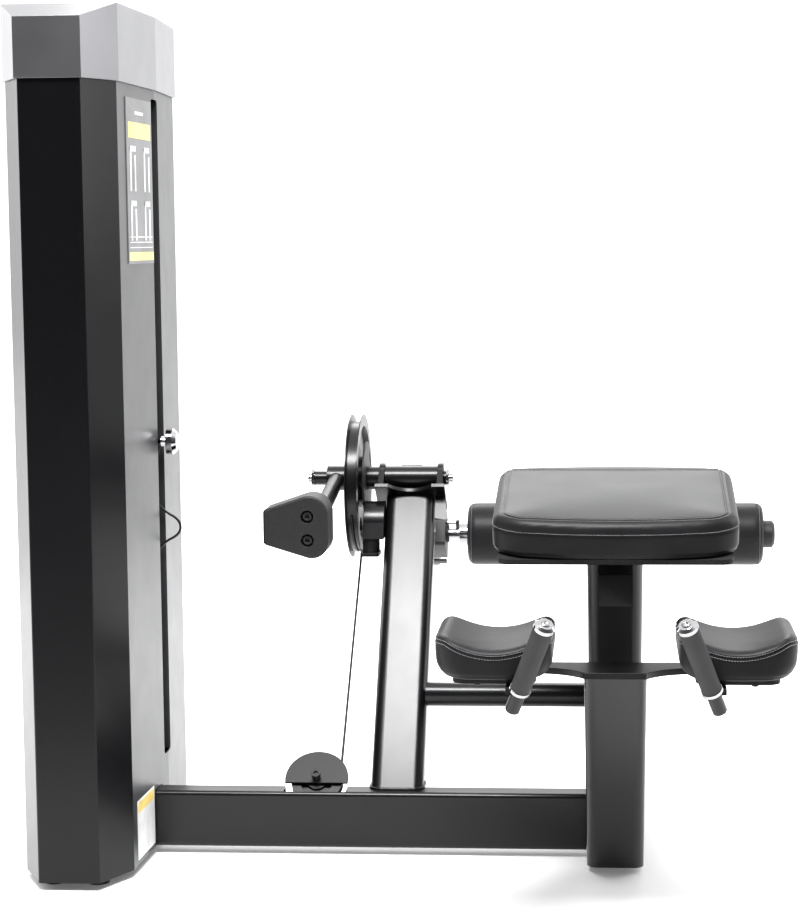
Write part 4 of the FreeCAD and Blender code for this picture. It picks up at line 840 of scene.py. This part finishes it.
# ---------------------------------------------------------------- cables

def make_drop_cable():
    """The cable above the stack, a round tube on the frame in place of the CAD one."""
    low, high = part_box("drop_cable")
    centre = (low + high) / 2
    radius = (high.x - low.x) / 2
    span = high.z - low.z
    steps = 24
    points = [Vector((centre.x, centre.y, low.z + span * k / steps)) for k in range(steps + 1)]
    mesh = joined("drop_cable_line", [tube_along(points, radius, 12)])
    item = piece("drop_cable_line", mesh, "cable", "frame")
    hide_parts("drop_cable")
    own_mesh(item)


LANYARD_ROUTE = (
    (-0.910, 0.124, 0.799), (-0.924, 0.124, 0.751), (-0.926, 0.124, 0.701), (-0.906, 0.124, 0.671),
    (-0.870, 0.124, 0.651), (-0.870, 0.124, 0.623), (-0.906, 0.124, 0.605), (-0.926, 0.124, 0.575),
    (-0.930, 0.124, 0.549),
)


def make_lanyard():
    """Cord that keeps the selector pin with the stack: it leaves the pin, loops out and goes back in."""
    curve = bpy.data.curves.new("pin_lanyard_cord", "CURVE")
    curve.dimensions = "3D"
    spline = curve.splines.new("NURBS")
    spline.points.add(len(LANYARD_ROUTE) - 1)
    for point, at in zip(spline.points, LANYARD_ROUTE):
        point.co = (*at, 1)
    spline.order_u = 3
    spline.use_endpoint_u = True
    spline.resolution_u = 12
    curve.bevel_depth = 0.0025
    curve.bevel_resolution = 4
    item = bpy.data.objects.new("pin_lanyard_cord", curve)
    SCENE.collection.objects.link(item)
    curve.materials.append(MATERIALS["cable"])
    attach(item, "stack")
    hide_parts("pin_lanyard")


# ---------------------------------------------------------------- small hard details

def weld(name, path, size):
    """A rippled weld bead along a closed path."""
    points = even_points(path, 0.0022)
    bead = tube_along(points, lambda i: size * (0.82 + 0.18 * abs(math.sin(i * 0.9))), 8, True)
    piece(name, joined(name, [bead]), "black_gloss", "frame")


def box_path(centre, half_x, half_y, corner, tilt=None):
    """A round-cornered rectangle about a centre, level unless tilted."""
    points = []
    for sign_x, sign_y, start in ((1, 1, 0), (-1, 1, 90), (-1, -1, 180), (1, -1, 270)):
        for k in range(6):
            a = math.radians(start + 18 * k)
            local = Vector((sign_x * (half_x - corner) + corner * math.cos(a),
                            sign_y * (half_y - corner) + corner * math.sin(a), 0))
            points.append(centre + (tilt @ local if tilt else local))
    return points


def placard():
    """Instruction placard with plain generic bands and bars instead of any print, and a blank label."""
    low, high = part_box("shroud_right")
    fold = 0.110
    break_x = -1.019 + 0.104
    slope = (high.x - break_x) / (fold - low.y)

    def plate(y0, y1, z0, z1, lift, thick):
        """A thin plate on the shroud's side panel, which turns outwards from its front edge to its fold."""
        back = [Vector((break_x + (y - low.y) * slope + lift, y, z))
                for y, z in ((y0, z0), (y1, z0), (y1, z1), (y0, z1))]
        return loft([back, [point + X_AXIS * thick for point in back]])

    def lay(name, plates, look):
        piece(name, joined(name, plates), look, "frame", smooth=False)

    y0, y1, z0, z1 = -0.110, 0.075, 1.166, 1.478
    lay("placard_plate", [plate(y0, y1, z0, z1, 0.0002, 0.0016)], "placard")
    lift = 0.0019
    ink = 0.0003
    lay("placard_bands", [plate(y0 + 0.012, y1 - 0.012, z1 - 0.075, z1 - 0.045, lift, ink),
                          plate(y0 + 0.004, y1 - 0.004, z0 + 0.006, z0 + 0.022, lift, ink)], "placard_band")
    marks = []
    reach, bar = 0.020, 0.008
    for column in (y0 + 0.042, y1 - 0.042):
        for row, height in ((z1 - 0.175, 0.085), (z1 - 0.268, 0.075)):
            top = row + height
            marks.append(plate(column - reach, column - reach + bar, row, top, lift, ink))
            marks.append(plate(column + reach - bar, column + reach, row, row + height * 0.8, lift, ink))
            marks.append(plate(column - reach, column + reach, top - 0.010, top, lift, ink))
    for k in range(3):
        rule = z0 + 0.030 + 0.010 * k
        marks.append(plate(y0 + 0.010, y1 - 0.010, rule, rule + 0.0015, lift, ink))
    middle = (y0 + y1) / 2
    marks.append(plate(middle - 0.030, middle + 0.030, z1 - 0.030, z1 - 0.024, lift, ink))
    lay("placard_marks", marks, "placard_mark")
    lay("blank_label", [plate(-0.137, -0.010, 0.025, 0.140, 0.0002, 0.0006)], "placard_mark")
    lay("blank_label_band", [plate(-0.133, -0.014, 0.116, 0.136, 0.0009, ink)], "placard_band")


def slot_liner():
    """A folded edge behind the selector slot's rear side, seen through the slot."""
    low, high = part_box("shroud_right")
    outer = high.x - 0.004
    inner = outer - 0.026
    rear = 0.1402
    foot = low.z + 0.166
    top = high.z - 0.020
    corners = [Vector((x, rear, z)) for x, z in ((outer, foot), (inner, foot), (inner, top), (outer, top))]
    sheet = loft([corners, [corner + Y_AXIS * 0.0015 for corner in corners]])
    piece("slot_liner", joined("slot_liner", [sheet]), "graphite", "frame", smooth=False)


def bolt_head(at, axis, radius, tall):
    """A button-head screw with a six-sided socket."""
    socket = radius * 0.5
    sixth = math.pi / 3
    profile = ((radius, 0.0), (radius, tall * 0.45), (radius * 0.82, tall * 0.85), (socket * 1.25, tall),
               (socket, tall), (socket * 0.95, tall * 0.45))
    turn = axis.to_track_quat("Z", "Y").to_matrix()
    rings = []
    for i, (across, up) in enumerate(profile):
        ring = []
        for k in range(24):
            a = 2 * math.pi * k / 24
            reach = across
            if i > 2:
                reach = across * math.cos(sixth / 2) / math.cos(a % sixth - sixth / 2)
            ring.append(at + turn @ Vector((reach * math.cos(a), reach * math.sin(a), up)))
        rings.append(ring)
    return loft(rings)


def end_plugs():
    """Plastic plugs in the open ends of the bench rail and the floor tube."""
    upright = Matrix.Rotation(math.radians(90), 3, "X")
    rail_low, rail_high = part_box("bench_rail")
    tube_low, tube_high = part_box("floor_tube")
    wide = (rail_high.x - rail_low.x) / 2
    tube_tall = (tube_high.z - tube_low.z) / 2
    tube_wide = (tube_high.x - tube_low.x) / 2
    # each row: the tube's end, which way is out, its foot, and half the plug's height and width
    ends = ((rail_low.y, -1, rail_low.z, 0.028, wide), (rail_high.y, 1, rail_low.z, 0.026, wide),
            (tube_low.y, -1, tube_low.z, tube_tall, tube_wide),
            (tube_high.y, 1, tube_low.z, tube_tall, tube_wide))
    plugs = []
    for y, out, foot, tall, half in ends:
        centre = Vector((0, y, foot + tall))
        rings = [box_path(centre + Y_AXIS * out * depth, half - inset, tall - inset, 0.004, upright)
                 for depth, inset in ((0.0002, 0.0003), (0.002, 0.0003), (0.003, 0.0013))]
        plugs.append(loft(rings))
    piece("end_plugs", joined("end_plugs", plugs), "board", "frame")


def small_screws():
    """Screws under the elbow pads and in the two grip caps."""
    under = 0.4698
    heads = []
    for side in ("left", "right"):
        low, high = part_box("elbow_pad_" + side)
        for share in (0.36, 0.64):
            x = low.x + (high.x - low.x) * share
            heads.append(bolt_head(Vector((x, low.y + 0.045, under)), -Z_AXIS, 0.0065, 0.005))
    piece("elbow_screws", joined("elbow_screws", heads), "black_gloss", "frame")
    caps = []
    for sign in (-1, 1):
        foot = Vector((sign * 0.171, -0.632, 0.432))
        top = Vector((sign * 0.112, -0.728, 0.593))
        way = (top - foot).normalized()
        caps.append(bolt_head(top - way * 0.0003, way, 0.0075, 0.0022))
    piece("grip_screws", joined("grip_screws", caps), "steel", "frame")


def weld_beads():
    """Weld bead where the upright meets the floor beam."""
    low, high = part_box("upright")
    half_x, half_y = 0.0525, 0.0385
    foot = Vector(((low.x + high.x) / 2, low.y + 0.038, low.z + 0.001))
    weld("upright_weld", box_path(foot, half_x, half_y, 0.022), 0.0036)


make_studio()
dress_nodes()
make_lanyard()
make_drop_cable()
make_cushions()
make_roller()
placard()
slot_liner()
end_plugs()
small_screws()
weld_beads()
